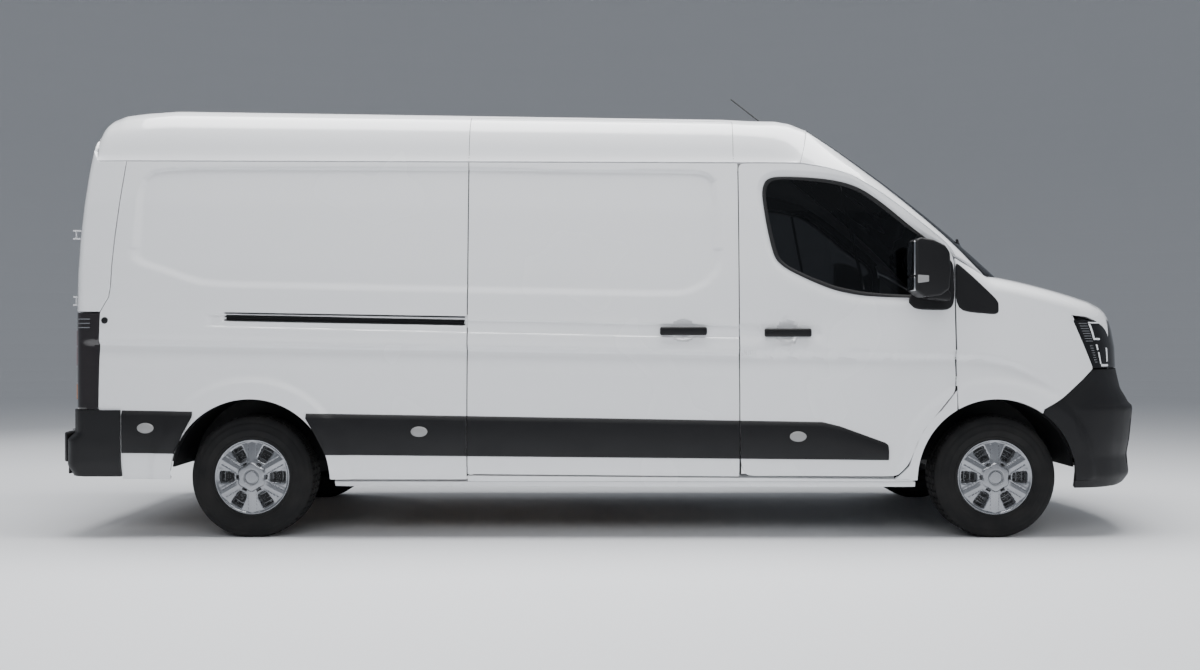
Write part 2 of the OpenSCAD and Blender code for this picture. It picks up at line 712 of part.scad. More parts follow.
module cab_seats() {
  color([0.25, 0.26, 0.28]) {
    seat(half - 870, 520);
    seat(-half + 170, 920);
  }
}

module steering_wheel() {
  color(black)
    translate([axle_f - 470, half - 590, 1150]) rotate([0, -65, 0]) {
      translate([0, 0, 130]) rotate_extrude() translate([steering_r - 15, 0]) circle(r = 15);
      translate([0, 0, 120.5]) cylinder(h = 30, r = 60);
      for (a = [0, 120, 240]) rotate([0, 0, a]) box([30, -15, 124], [steering_r - 10, 15, 136]);
    }
}

module aerial() {
  foot = roof_point(axle_f - 1080, [0, 324]);
  color(black) translate(foot + [0, 0, 2.8]) {
    cylinder(h = 20, r = 14);
    translate([0, 0, 10]) rotate([0, -52, 0]) cylinder(h = 400, r = 4);
  }
}

// ---------------------------------------------------------------- doors

module cab_door() {
  color(white) {
    difference() {
      panel([for (p = door_ring) [for (s = [0:0.2:1]) let (q = p[0] + s * (p[1] - p[0])) side_point(q[0], q[1])]],
        wrap = true);
      for (z = cab_hinge_z) cab_hinge_pocket(z);
    }
    for (z = cab_hinge_z) cab_hinge_ring(z);
  }
  color(black) rotate([0, body_slope / 2, 0]) scale([1, -1, 1])
    box([door_rear + 6, half - 20, cladding_z], [axle_f - 610, half + cladding_t, cladding_z + cladding_h]);
}

module cab_door_right() { cab_door(); }
module cab_door_left() { mirror([0, 1, 0]) cab_door(); }

// Room between a door and the edge of its glass
glass_edge = 6;

module door_glass() {
  color(glass)
    panel([for (x = concat([axle_f - 1302, axle_f - 1280, axle_f - 1250], steps(axle_f - 1225, axle_f - 292, 12)))
      [for (z = steps(lookup(x, window_low) + glass_edge, lookup(x, window_high) - glass_edge, 4))
        side_point(x, z) + [0, 14, 0]]],
      glass_t);
}

module door_glass_right() { door_glass(); }
module door_glass_left() { mirror([0, 1, 0]) door_glass(); }

module mirror_shape(side) {
  color(black) scale([1, side, 1]) {
    translate([axle_f - 420, -half - 40, 1380]) rotate([90, 0, 0]) linear_extrude(200)
      polygon([[-40, 0], [110, 0], [140, 60], [140, 300], [60, 330], [-40, 330]]);
    box([axle_f - 380, -half - 60, 1310], [axle_f - 320, -half + 33.2, 1365]);
    box([axle_f - 380, -half - 60, 1310], [axle_f - 320, -half - 41, 1400]);
  }
}

module mirror_right() { mirror_shape(1); }
module mirror_left() { mirror_shape(-1); }

module rear_door() {
  color(white) {
    for (z = rear_hinge_z) rear_hinge_ring(z);
    rear_door_skin();
  }
}

module rear_door_skin() {
  rows = concat([door_foot, 750, 900, 1100], steps(1300, roof_z - 400, 4), [roof_z - 340]);
  g = [for (k = [0:7]) concat(
    [for (z = rows) rear_point(-door_column(k, z), z)],
    [rear_point(-door_column(k, roof_z), door_top(door_column(k, roof_z)))]
  )];
  panel(g, back = thinned(g));
}

// Distance from the middle of column k of a rear door, 0 at the seam between the doors and 7 at the post
function door_column(k, z) = gap + (opening_half(z) - seam - gap) * k / 7;

module rear_door_right() { rear_door(); }
module rear_door_left() { mirror([0, 1, 0]) rear_door(); }

// ---------------------------------------------------------------- hinges

// The upright axis of the right cab door's hinges
cab_hinge = [door_front + 1.5, -half + 2];
cab_hinge_z = [890, 1040];
// The upright axis of the right rear door's hinges
rear_hinge = [rear_face_x + rear_round(rear_opening / 2 + gap) - 15, -rear_opening / 2 + 1.5];
rear_hinge_z = [1345, 1725];
// The axis of the bonnet's hinges, across the van
bonnet_hinge = [axle_f + 20, 1478];
bonnet_hinge_y = bonnet_half - 110;
hinge_ear = 8;
cab_post_y = half - wall - 62;

// A door's ring around a hinge pin
module hinge_ring(r) {
  difference() {
    cylinder(h = hinge_lug_h, r = r, center = true);
    cylinder(h = hinge_lug_h + 2, r = hinge_pin_r + running, center = true);
  }
}

// The pin of one hinge
module hinge_pin() {
  cylinder(h = hinge_lug_h + 2 * hinge_ear + 2, r = hinge_pin_r, center = true);
}

module cab_hinge_ring(z) {
  translate([cab_hinge[0], cab_hinge[1], z]) {
    hinge_ring(8);
    difference() {
      translate([-24, -4, -hinge_lug_h / 2]) cube([22, 30, hinge_lug_h]);
      cylinder(h = hinge_lug_h + 2, r = 7, center = true);
    }
  }
}

// Room for the hinge in the panel's edge
module cab_hinge_pocket(z) {
  translate([cab_hinge[0] - 5, cab_hinge[1] - 20, z - hinge_lug_h / 2 - hinge_ear - 4])
    cube([19, 110, hinge_lug_h + 2 * hinge_ear + 8]);
}

module cab_hinge_bracket(z) {
  translate([cab_hinge[0], cab_hinge[1], z]) {
    hinge_pin();
    for (s = [-1, 1])
      translate([-1.5, 0, s * (hinge_lug_h / 2 + 1 + hinge_ear / 2) - hinge_ear / 2])
        cube([3, half - cab_post_y - 2.3, hinge_ear]);
  }
}

module rear_hinge_ring(z) {
  translate([rear_hinge[0], rear_hinge[1], z]) {
    hinge_ring(12);
    difference() {
      translate([-4, 4, -hinge_lug_h / 2]) cube([34, 40, hinge_lug_h]);
      cylinder(h = hinge_lug_h + 2, r = 10, center = true);
      translate([4, -20, -hinge_lug_h]) cube([60, 28, 2 * hinge_lug_h]);
    }
  }
}

module rear_hinge_bracket(z) {
  translate([rear_hinge[0], rear_hinge[1], z]) {
    hinge_pin();
    for (s = [-1, 1])
      translate([-6, -30, s * (hinge_lug_h / 2 + 1 + hinge_ear / 2) - hinge_ear / 2])
        cube([20.7 + lookup(z + s * 23 - 4, rear_table) - rear_face_x, 33, hinge_ear]);
  }
}

// An arm under the bonnet that ends in a ring around its hinge pin
module bonnet_arm() {
  translate([bonnet_hinge[0], -bonnet_hinge_y, bonnet_hinge[1]]) rotate([90, 0, 0]) {
    difference() {
      union() {
        cylinder(h = hinge_lug_h / 2, r = 12, center = true);
        translate([-10, -62, -hinge_lug_h / 4]) cube([20, 60, hinge_lug_h / 2]);
        translate([-10, -62, -hinge_lug_h / 4]) cube([150, 16, hinge_lug_h / 2]);
      }
      cylinder(h = hinge_lug_h + 2, r = hinge_pin_r + running, center = true);
    }
  }
}

module bonnet_bracket() {
  translate([bonnet_hinge[0], -bonnet_hinge_y, bonnet_hinge[1]]) {
    rotate([90, 0, 0]) cylinder(h = hinge_lug_h / 2 + 16, r = hinge_pin_r, center = true);
    for (s = [-1, 1]) translate([-8, s * (hinge_lug_h / 4 + 4) - 3, shelf_z - bonnet_hinge[1] + 19])
      cube([16, 6, bonnet_hinge[1] - shelf_z - 11]);
    translate([-8, -hinge_lug_h / 4 - 7, shelf_z - bonnet_hinge[1]]) cube([16, hinge_lug_h / 2 + 14, 20]);
  }
}

// Pins and brackets on the body that carry the doors and the bonnet
module door_hinges() {
  color(steel) both_sides() {
    for (z = cab_hinge_z) cab_hinge_bracket(z);
    for (z = rear_hinge_z) rear_hinge_bracket(z);
    bonnet_bracket();
  }
}

// ---------------------------------------------------------------- wheels

module knuckle(side) {
  y = track_front / 2;
  k = y - kingpin_offset;
  color(steel) scale([1, side, 1]) {
    translate([axle_f, -k, 270]) cylinder(h = 150, r = 28);
    translate([axle_f, -y - 62, hub_z]) rotate([-90, 0, 0]) cylinder(h = kingpin_offset + 62, r = spindle_r);
  }
}

module knuckle_right() { knuckle(1); }
module knuckle_left() { knuckle(-1); }

module at_wheel(x, y) {
  translate([x, y, hub_z]) rotate([90, 0, 0]) scale([1, 1, 1]) children();
}

// The rim, with its outer face towards +z
module rim() {
  color([0.7, 0.71, 0.72])
    difference() {
      rotate_extrude()
        polygon([
          [rim_r, -tyre_w / 2 + 10], [rim_r, tyre_w / 2 - 10], [rim_r - 12, tyre_w / 2 - 10],
          [rim_r - 20, tyre_w / 2 - 40], [90, tyre_w / 2 - 60], [60, tyre_w / 2 - 45],
          [spindle_r + running, tyre_w / 2 - 45], [spindle_r + running, 10], [90, 10], [rim_r - 22, 40],
          [rim_r - 22, -tyre_w / 2 + 30], [rim_r - 12, -tyre_w / 2 + 10]
        ]);
      for (a = [0:60:300]) rotate([0, 0, a]) translate([155, 0, 0]) cylinder(h = 200, r = 26);
    }
}

module tyre() {
  color(black)
    rotate_extrude($fn = 96)
      polygon([
        [rim_r + touch, -tyre_w / 2 + 14], [rim_r + 20, -tyre_w / 2 + 4], [rim_r + 60, -tyre_w / 2],
        [tyre_r - 25, -tyre_w / 2 + 6], [tyre_r - 6, -tyre_w / 2 + 22], [tyre_r, -tyre_w / 2 + 45],
        [tyre_r, tyre_w / 2 - 45], [tyre_r - 6, tyre_w / 2 - 22], [tyre_r - 25, tyre_w / 2 - 6],
        [rim_r + 60, tyre_w / 2], [rim_r + 20, tyre_w / 2 - 4], [rim_r + touch, tyre_w / 2 - 14]
      ]);
}

module rim_front_right() { at_wheel(axle_f, -track_front / 2) rim(); }
module rim_front_left() { mirror([0, 1, 0]) rim_front_right(); }
module rim_rear_right() { at_wheel(axle_r, -track_rear / 2) rim(); }
module rim_rear_left() { mirror([0, 1, 0]) rim_rear_right(); }
module tyre_front_right() { at_wheel(axle_f, -track_front / 2) tyre(); }
module tyre_front_left() { mirror([0, 1, 0]) tyre_front_right(); }
module tyre_rear_right() { at_wheel(axle_r, -track_rear / 2) tyre(); }
module tyre_rear_left() { mirror([0, 1, 0]) tyre_rear_right(); }

roof();
side_panel_left();
side_panel_right();
rear_corner_posts();
sliding_door();
windscreen_pillars();
cab_frame();
load_floor();
cab_floor();
bulkhead();
front_wings();
front_bumper();
grille();
headlights();
windscreen();
scuttle_panel();
tail_lamps();
rear_bumper();
body_cladding();
dashboard();
cab_seats();
engine_block();
front_suspension();
rear_axle();
chassis_frame();
fuel_tank();
exhaust();
wheel_housings();
aerial();
door_hinges();
bonnet();
cab_door_left();
cab_door_right();
door_glass_left();
door_glass_right();
mirror_left();
mirror_right();
rear_door_left();
rear_door_right();
knuckle_left();
knuckle_right();
steering_wheel();
rim_front_left();
rim_front_right();
rim_rear_left();
rim_rear_right();
tyre_front_left();
tyre_front_right();
tyre_rear_left();
tyre_rear_right();
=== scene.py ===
"""Looks for the panel van: finer panels, wheels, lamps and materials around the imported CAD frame.

Lengths inside the shape functions are in millimetres and become metres where a mesh is made.
"""

import math

import bmesh
import bpy
import numpy as np
from bpy.props import FloatProperty, FloatVectorProperty, IntProperty, PointerProperty
from mathutils import Matrix, Vector


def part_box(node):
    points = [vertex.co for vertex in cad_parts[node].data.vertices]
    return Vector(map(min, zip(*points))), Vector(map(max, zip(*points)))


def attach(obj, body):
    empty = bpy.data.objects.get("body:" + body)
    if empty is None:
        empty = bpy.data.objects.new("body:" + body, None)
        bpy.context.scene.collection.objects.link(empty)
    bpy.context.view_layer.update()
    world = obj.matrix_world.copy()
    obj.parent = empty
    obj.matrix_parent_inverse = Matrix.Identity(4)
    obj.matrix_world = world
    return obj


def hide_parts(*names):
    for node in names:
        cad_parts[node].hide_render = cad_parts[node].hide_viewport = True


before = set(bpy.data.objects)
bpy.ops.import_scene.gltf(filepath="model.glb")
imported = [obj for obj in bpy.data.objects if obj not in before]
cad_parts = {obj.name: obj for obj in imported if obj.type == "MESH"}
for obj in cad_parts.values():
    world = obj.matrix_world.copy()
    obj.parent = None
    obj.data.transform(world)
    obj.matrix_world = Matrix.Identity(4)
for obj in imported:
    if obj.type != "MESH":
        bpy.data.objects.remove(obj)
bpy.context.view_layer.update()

bl_info = {
    "name": "Panel Van Looks",
    "version": (1, 0, 0),
    "blender": (4, 5, 0),
    "location": "View3D > Sidebar > Van",
    "description": "Builds the looks of a panel van around its packed CAD frame",
    "category": "Object",
}

MM = 0.001


def mm(corner):
    """A corner in metres as an array in millimetres."""
    return np.array(corner) * 1000.0


# ---------------------------------------------------------------- sizes read from the CAD frame

# The body's own lines stay as fixed values in millimetres; the van stands along X with its front at +X.
TYRE_BOX = [mm(c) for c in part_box("tyre_front_right")]
FRONT_X = mm(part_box("front_bumper")[1])[0]
REAR_X = mm(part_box("rear_bumper")[0])[0]
CLADDING_T = 20.0
HALF = mm(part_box("body_cladding")[1])[1] - CLADDING_T
ROOF_Z = 2500.0
AXLE_F = (TYRE_BOX[0] + TYRE_BOX[1])[0] / 2
AXLE_R = mm(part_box("tyre_rear_right")).mean(axis=0)[0]
TYRE_R = (TYRE_BOX[1] - TYRE_BOX[0])[2] / 2
TYRE_W = (TYRE_BOX[1] - TYRE_BOX[0])[1]
HUB_Z = (TYRE_BOX[0] + TYRE_BOX[1])[2] / 2
SLIDE = [mm(c)[0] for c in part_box("sliding_door")]
SEAM = 6.0
GAP = SEAM / 2
SLOPE = math.tan(math.radians(0.95))
ARCH_Z = HUB_Z - 5
ARCH_R = 450.0
WALL = 45.0
REAR_FACE = REAR_X + 48
DOOR_REAR = SLIDE[1] + GAP
DOOR_FRONT = AXLE_F - 228
POST_X = REAR_FACE + 266
LAMP_X = REAR_FACE + 208
LAMP_LOW, LAMP_HIGH = 727.0, 1280.0
BONNET_HALF = 793.0
GRILLE_HALF = 560.0
SCREEN_TOP = np.array([AXLE_F - 975, ROOF_Z - 122])
SCREEN_FOOT = np.array([AXLE_F + 190, 1491.0])
LIP = np.array([FRONT_X - 250, 1340.0])
OPENING_HALF = 870.0
SHOULDER = 100
BUMPER_LOW = 283.0
GRILLE_LOW, GRILLE_HIGH = 856, 1226
# Depth and half width of the dark strips of painted shade behind panel gaps.
SEAM_SINK = 21.0
SEAM_HALF = 11.0
CORNER_OUT = 12


# ---------------------------------------------------------------- curves and surfaces of the body

def curve(points, blur=0.0):
    """A function through points, rounded over about blur, that runs on straight past both ends."""
    p = np.array(points, float)
    first = (p[1, 1] - p[0, 1]) / (p[1, 0] - p[0, 0])
    last = (p[-1, 1] - p[-2, 1]) / (p[-1, 0] - p[-2, 0])

    def straight(q):
        v = np.interp(q, p[:, 0], p[:, 1])
        return v + np.minimum(q - p[0, 0], 0) * first + np.maximum(q - p[-1, 0], 0) * last
    if not blur:
        return straight
    step = blur / 6
    q = np.arange(p[0, 0] - 4 * blur, p[-1, 0] + 4 * blur, step)
    weight = np.exp(-0.5 * (np.arange(-18, 19) / 6) ** 2)
    reach = 18 * step
    wide = np.arange(q[0] - reach, q[-1] + reach + step / 2, step)
    v = np.convolve(straight(wide), weight / weight.sum(), "valid")[:len(q)]
    return lambda s: np.interp(s, q, v)


def smooth(a, b, v):
    """0 up to a, 1 from b on, with a soft rise between."""
    t = np.clip((v - a) / (b - a), 0, 1)
    return t * t * (3 - 2 * t)


def soft_min(a, b, k):
    """The lesser of two values, rounded where they differ by less than k."""
    return np.minimum(a, b) - np.maximum(k - np.abs(a - b), 0) ** 2 / (4 * k)


def bow(a, b, h, n):
    """Points along an arc from a to b that rises h from the straight line."""
    a, b = np.array(a, float), np.array(b, float)
    d = (b - a) / np.linalg.norm(b - a)
    t = np.linspace(0, 1, n + 1)[:, None]
    return (a + t * (b - a) + 4 * h * t * (1 - t) * np.array([-d[1], d[0]])).tolist()


SIDE = curve([
    [200, HALF - 110], [262, HALF - 60], [300, HALF - 26], [380, HALF - 8], [480, HALF - 1], [640, HALF - 1],
    [800, HALF - 5], [1030, HALF - 13], [1240, HALF - 24], [1500, HALF - 41],
    [ROOF_Z - 640, HALF - 72], [ROOF_Z - 362, HALF - 108]], 14)
ROOF_SECTION = curve([
    [0, 324], [HALF - 700, 320], [HALF - 440, 306], [HALF - 300, 284], [HALF - 226, 244], [HALF - 172, 182],
    [HALF - 138, 100], [HALF - 122, 17], [HALF - 108, 0]], 10)
NOSE = curve([
    [250, FRONT_X - 204], [283, FRONT_X - 66], [340, FRONT_X - 22], [457, FRONT_X - 34], [540, FRONT_X - 18],
    [660, FRONT_X - 6], [729, FRONT_X], [782, FRONT_X - 26], [836, FRONT_X - 60], [875, FRONT_X - 70],
    [953, FRONT_X - 88], [1078, FRONT_X - 94], [1174, FRONT_X - 112], [1234, FRONT_X - 130]], 9)
BONNET = curve(bow(SCREEN_FOOT + [12, -6], LIP, 10, 5)
               + [[FRONT_X - 178, 1301], [FRONT_X - 145, 1271], [FRONT_X - 130, 1234]], 7)
REAR = curve([[200, REAR_FACE], [1300, REAR_FACE]]
             + [[z, x] for x, z in bow([REAR_FACE + 5, ROOF_Z - 1010], [REAR_FACE + 105, ROOF_Z - 220], 16, 4)]
             + [[ROOF_Z - 128, REAR_FACE + 128]], 20)
ROOF_RISE = curve([
    [REAR_FACE + 115, 0.55], [REAR_FACE + 128, 0.68], [REAR_FACE + 165, 0.80], [REAR_FACE + 250, 0.90],
    [REAR_FACE + 368, 0.95], [REAR_FACE + 560, 1.0], [AXLE_F - 1500, 1.0], [AXLE_F - 1170, 0.96],
    [AXLE_F - 1080, 0.89], [SCREEN_TOP[0] - 16, 0.74]], 12)


def front_round(y):
    """How far the front is drawn back at y from the middle."""
    return 180 * (y / 1000) ** 2 + 250 * np.abs(y / 1000) ** 8


def rear_round(y):
    """How far the rear is drawn forward at y from the middle."""
    return 30 * (y / 1000) ** 2 + 60 * (y / 1000) ** 10


ACROSS = np.linspace(0, 1300, 261)
FRONT_INVERSE = curve(np.stack([front_round(ACROSS), ACROSS], 1)[1:])
REAR_INVERSE = curve(np.stack([rear_round(ACROSS), ACROSS], 1)[1:])


def gutter(x):
    """Height of the roof's lower edge at x."""
    return ROOF_Z - 362 - 0.003 * x


def inside(poly, x, z):
    """Distance from points to the outline, positive inside it."""
    p = np.array(poly, float)
    q = np.roll(p, -1, axis=0)
    pts = np.stack([x, z], -1)[..., None, :]
    e = q - p
    t = np.clip(((pts - p) * e).sum(-1) / (e * e).sum(-1), 0, 1)
    dist = np.linalg.norm(pts - p - t[..., None] * e, axis=-1).min(-1)
    cross = ((p[:, 1] > z[..., None]) != (q[:, 1] > z[..., None]))
    with np.errstate(divide="ignore", invalid="ignore"):
        at = p[:, 0] + (z[..., None] - p[:, 1]) / e[:, 1] * e[:, 0]
    odd = (cross & (x[..., None] < at)).sum(-1) % 2 == 1
    return np.where(odd, dist, -dist)


# Outlines on the van's side, as [along the van, height]
RECESS = [[-2675, 1984], [-2660, 2037], [-2626, 2072], [-2540, 2088], [-2427, 2094], [-821, 2091], [487, 2074],
          [543, 2057], [572, 2026], [586, 1883], [583, 1573], [566, 1522], [521, 1471], [450, 1432], [386, 1412],
          [194, 1410], [-804, 1431], [-2213, 1462], [-2337, 1474], [-2427, 1503], [-2540, 1543], [-2655, 1580],
          [-2683, 1601], [-2692, 1635], [-2686, 1911]]
CHANNEL = [[-2290, 1268], [-815, 1236], [1130, 1193], [1160, 1188], [1178, 1172], [1181, 1156], [1176, 1138],
           [1160, 1124], [1130, 1122], [-815, 1164], [-2290, 1200]]
HANDLES = [(400.0, 1173.0), (990.0, 1164.0)]
CREASE = curve([[700, 0], [930, -3], [1026, -13], [1048, -13], [1068, 8], [1078, 9], [1110, 6], [1250, 0],
                [1400, 0]], 3)
RAIL = [[-2202, 1279], [-830, 1256], [-830, 1203], [-2202, 1230]]
RECESS_DEPTH = 12
CHANNEL_DEPTH = 6
RAIL_DEPTH = 15
CUP_R, CUP_DEPTH = 63, 31
ARCH_LIP = 12
ARCH_LIP_R = (540, 583)


def relief(x, z, rail):
    """Pressed detail of the side, outward in millimetres; rail adds the trough of the sliding door's rail."""
    fall = 130 * (np.maximum(x - AXLE_F + 130, 0) / 420) ** 2
    fade = 1 - smooth(AXLE_F + 120, AXLE_F + 420, x)
    r = CREASE(z + SLOPE * x + fall) * fade * smooth(REAR_FACE + 90, REAR_FACE + 200, x)
    for axle in (AXLE_R, AXLE_F):
        d = np.hypot(x - axle, z - ARCH_Z)
        r = r + np.where(z > 330, ARCH_LIP * (1 - smooth(*ARCH_LIP_R, d)), 0)
    d = inside(RECESS, x, z)
    wide = np.where((z < 1640) & (d < 60), 46, 15)
    r = r - RECESS_DEPTH * smooth(-1, 0, d / wide)
    r = r - CHANNEL_DEPTH * smooth(-3, 4, inside(CHANNEL, x, z))
    if rail:
        r = r - RAIL_DEPTH * smooth(-2, 2, inside(RAIL, x, z))
    for hx, hz in HANDLES:
        d = np.hypot(x - hx, z - hz - 3) / CUP_R
        r = r - CUP_DEPTH * np.sqrt(np.maximum(1 - d * d, 0))
    return r


LEFT = "left side"


def side_half(x, z, detail=True):
    """Half the body's width at x and z; detail is True, LEFT (no sliding-door rail) or False (no relief)."""
    x, z = np.asarray(x, float), np.asarray(z, float)
    y = soft_min(soft_min(SIDE(z + SLOPE * x), FRONT_INVERSE(NOSE(z) - x), 120), REAR_INVERSE(x - REAR(z)), 40)
    return y + relief(x, z, detail is not LEFT) if detail else y


def side_points(x, z, out=0.0, detail=True):
    """Places on the right side, moved out by out."""
    x, z = np.broadcast_arrays(np.asarray(x, float), np.asarray(z, float))
    return np.stack([x, -side_half(x, z, detail) - out, z], -1)


def front_points(y, z, out=0.0):
    """Places on the nose, moved forward by out."""
    y, z = np.broadcast_arrays(np.asarray(y, float), np.asarray(z, float))
    return np.stack([NOSE(z) - front_round(y) + out, y, z], -1)


def rear_points(y, z, out=0.0):
    """Places on the rear face, moved back by out."""
    y, z = np.broadcast_arrays(np.asarray(y, float), np.asarray(z, float))
    return np.stack([REAR(z) + rear_round(y) - out, y, z], -1)


def roof_points(x, y, sink=0.0):
    """The roof over a place, with its front and rear edges drawn back at the corners."""
    x, y = np.broadcast_arrays(np.asarray(x, float), np.asarray(y, float))
    g = gutter(x)
    rise = ROOF_RISE(x) * (ROOF_Z - 38 - SLOPE * x - g) * ROOF_SECTION(np.abs(y)) / 324
    back = rear_round(y) * np.clip(1 - (x - REAR_FACE - 115) / 400, 0, 1)
    fore = -135 * (y / 1000) ** 2 * np.clip(1 - (SCREEN_TOP[0] - 16 - x) / 600, 0, 1)
    return np.stack([x + np.where(x < 0, back, fore), y, g + GAP + rise - sink], -1)


SCREEN_LINE = np.array(bow(SCREEN_TOP, SCREEN_FOOT, 34, 8))


def screen_half(t):
    """Half the windscreen's width, t from 0 at its top to 1 at its foot."""
    return HALF - 275 + 125 * t


def screen_points(t, y, sink=0.0):
    """Places on the windscreen, moved in by sink."""
    t, y = np.broadcast_arrays(np.asarray(t, float), np.asarray(y, float))
    i = np.linspace(0, 1, 9)
    x = curve(np.stack([i, SCREEN_LINE[:, 0]], 1))(t)
    z = curve(np.stack([i, SCREEN_LINE[:, 1]], 1))(t)
    drop = 225 * (1 - ROOF_SECTION(np.abs(y)) / 324)
    return np.stack([x - (1 - t) * 100 * (y / 1000) ** 2 - t * front_round(y) - 0.62 * sink, y,
                     z - (1 - t) * drop - 0.78 * sink], -1)


PILLAR_EDGE = np.array([
    [AXLE_F - 1092, gutter(AXLE_F - 1092) + GAP], [AXLE_F - 950, ROOF_Z - 385], [AXLE_F - 803, ROOF_Z - 428],
    [AXLE_F - 655, ROOF_Z - 516], [AXLE_F - 510, ROOF_Z - 624], [AXLE_F - 363, ROOF_Z - 744], [AXLE_F - 295, 1700],
    [AXLE_F - 245, 1648], [AXLE_F - 220, 1599]])


def wing_top(x):
    """Top edge of a wing at x, as (distance from the middle, height)."""
    x = np.asarray(x, float)
    y = curve([[AXLE_F - 222, 958], [AXLE_F - 30, 885], [AXLE_F + 60, BONNET_HALF + SEAM],
               [AXLE_F + 800, BONNET_HALF + SEAM]])(x)
    z = np.where(x < AXLE_F - 30, curve([[AXLE_F - 222, 1588], [AXLE_F - 30, 1487]])(x),
                 BONNET(x + front_round(y)))
    return y, z


# ---------------------------------------------------------------- meshes

def grid_bmesh(points, ring=False):
    """A mesh whose vertices are a grid of points, the last row joined to the first in a ring."""
    p = np.concatenate([points, points[:1]]) if ring else points
    n, m = p.shape[:2]
    bm = bmesh.new()
    bmesh.ops.create_grid(bm, x_segments=n - 1, y_segments=m - 1, size=1)
    for v in bm.verts:
        i, j = round((v.co.x + 1) / 2 * (n - 1)), round((v.co.y + 1) / 2 * (m - 1))
        v.co = p[i, j] * MM
    if ring:
        bmesh.ops.remove_doubles(bm, verts=bm.verts, dist=1e-6)
    return bm


def face_outward(bm, centre=(0.0, 0.0, 1.2)):
    """Turns all faces if most of them look towards centre."""
    bm.normal_update()
    c = Vector(centre)
    facing = sum(f.normal.dot(f.calc_center_median() - c) * f.calc_area() for f in bm.faces)
    if facing < 0:
        bmesh.ops.reverse_faces(bm, faces=bm.faces)
        bm.normal_update()


def panel_bmesh(points, ring=False, depth=18.0, bevel=2.5, centre=(0.0, 0.0, 1.2)):
    """A sheet with its edges folded inward by depth over a rounded corner."""
    bm = grid_bmesh(points, ring)
    face_outward(bm, centre)
    edges = [e for e in bm.edges if e.is_boundary]
    normal = {v: v.normal.copy() for e in edges for v in e.verts}
    made = bmesh.ops.extrude_edge_only(bm, edges=edges)["geom"]
    for v in made:
        if isinstance(v, bmesh.types.BMVert):
            old = next(e.other_vert(v) for e in v.link_edges if e.other_vert(v) in normal)
            v.co -= normal[old] * depth * MM
    if bevel:
        bmesh.ops.bevel(bm, geom=edges, offset=bevel * MM, segments=2, profile=0.5, affect="EDGES",
                        clamp_overlap=True, material=-1)
    return bm


def block(bm, low, high, bevel=0.0, segments=3):
    """Adds a box between two corners in mm, with rounded edges."""
    low, high = np.array(low, float), np.array(high, float)
    made = bmesh.ops.create_cube(bm, size=1)["verts"]
    for v in made:
        v.co = Vector(((low + high) / 2 + np.array(v.co) * (high - low)) * MM)
    if bevel:
        edges = list({e for v in made for e in v.link_edges})
        bmesh.ops.bevel(bm, geom=edges, offset=bevel * MM, segments=segments, profile=0.5, affect="EDGES",
                        clamp_overlap=True, material=-1)


def prism(bm, outline, low, high, axis=1, bevel=0.0, segments=3):
    """Adds an outline in the plane across axis, drawn out from low to high along it."""
    made = bmesh.ops.create_circle(bm, cap_ends=True, segments=len(outline), radius=1)["verts"]
    others = [a for a in range(3) if a != axis]
    for v, p in zip(made, outline):
        co = [0, 0, 0]
        co[others[0]], co[others[1]], co[axis] = p[0] * MM, p[1] * MM, low * MM
        v.co = co
    face = next(f for f in made[0].link_faces)
    top = bmesh.ops.extrude_face_region(bm, geom=[face])["geom"]
    moved = [g for g in top if isinstance(g, bmesh.types.BMVert)]
    shift = Vector((0, 0, 0))
    shift[axis] = (high - low) * MM
    bmesh.ops.translate(bm, verts=moved, vec=shift)
    verts = set(made) | set(moved)
    faces = list({f for v in verts for f in v.link_faces})
    bmesh.ops.recalc_face_normals(bm, faces=faces)
    if bevel:
        edges = list({e for v in verts for e in v.link_edges})
        bmesh.ops.bevel(bm, geom=edges, offset=bevel * MM, segments=segments, profile=0.5, affect="EDGES",
                        clamp_overlap=True, material=-1)


def rod(bm, a, b, r, segments=16):
    """Adds a round rod from a to b."""
    a, b = Vector(a) * MM, Vector(b) * MM
    turn = (b - a).to_track_quat("Z", "Y").to_matrix().to_4x4()
    bmesh.ops.create_cone(bm, cap_ends=True, segments=segments, radius1=r * MM, radius2=r * MM,
                          depth=(b - a).length, matrix=Matrix.Translation((a + b) / 2) @ turn)


def lathe(bm, profile, centre, axis=(0, 1, 0), steps=96):
    """Adds a profile of (radius, place along axis) spun about axis through centre."""
    axis = Vector(axis)
    side = Vector((0, 0, 1)) if abs(axis.z) < 0.9 else Vector((1, 0, 0))
    c = Vector(centre) * MM
    made = [bm.verts.new(c + side * r * MM + axis * h * MM) for r, h in profile]
    edges = [bm.edges.new(pair) for pair in zip(made, made[1:])]
    bmesh.ops.spin(bm, geom=made + edges, cent=c, axis=axis, angle=math.tau, steps=steps, use_merge=True)
    bmesh.ops.remove_doubles(bm, verts=bm.verts, dist=1e-6)
    bmesh.ops.recalc_face_normals(bm, faces=bm.faces)


def add(bm, name, material, body="body", replaces=(), angle=35.0):
    """Turns a bmesh into a piece that rides on a body and stands for CAD nodes."""
    mesh = bpy.data.meshes.new(name)
    bm.to_mesh(mesh)
    bm.free()
    mesh.polygons.foreach_set("use_smooth", [True] * len(mesh.polygons))
    mesh.set_sharp_from_angle(angle=math.radians(angle))
    mesh.materials.append(material)
    obj = bpy.data.objects.new(name, mesh)
    bpy.context.scene.collection.objects.link(obj)
    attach(obj, body)
    if replaces:
        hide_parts(*replaces)
    return obj


def mirrored(points):
    """The same places on the van's other side."""
    return points * np.array([1.0, -1.0, 1.0])


def both(points):
    """The right side's grid and its mirror image, each with its side's name."""
    return (("right", points), ("left", mirrored(points)))


# ---------------------------------------------------------------- materials

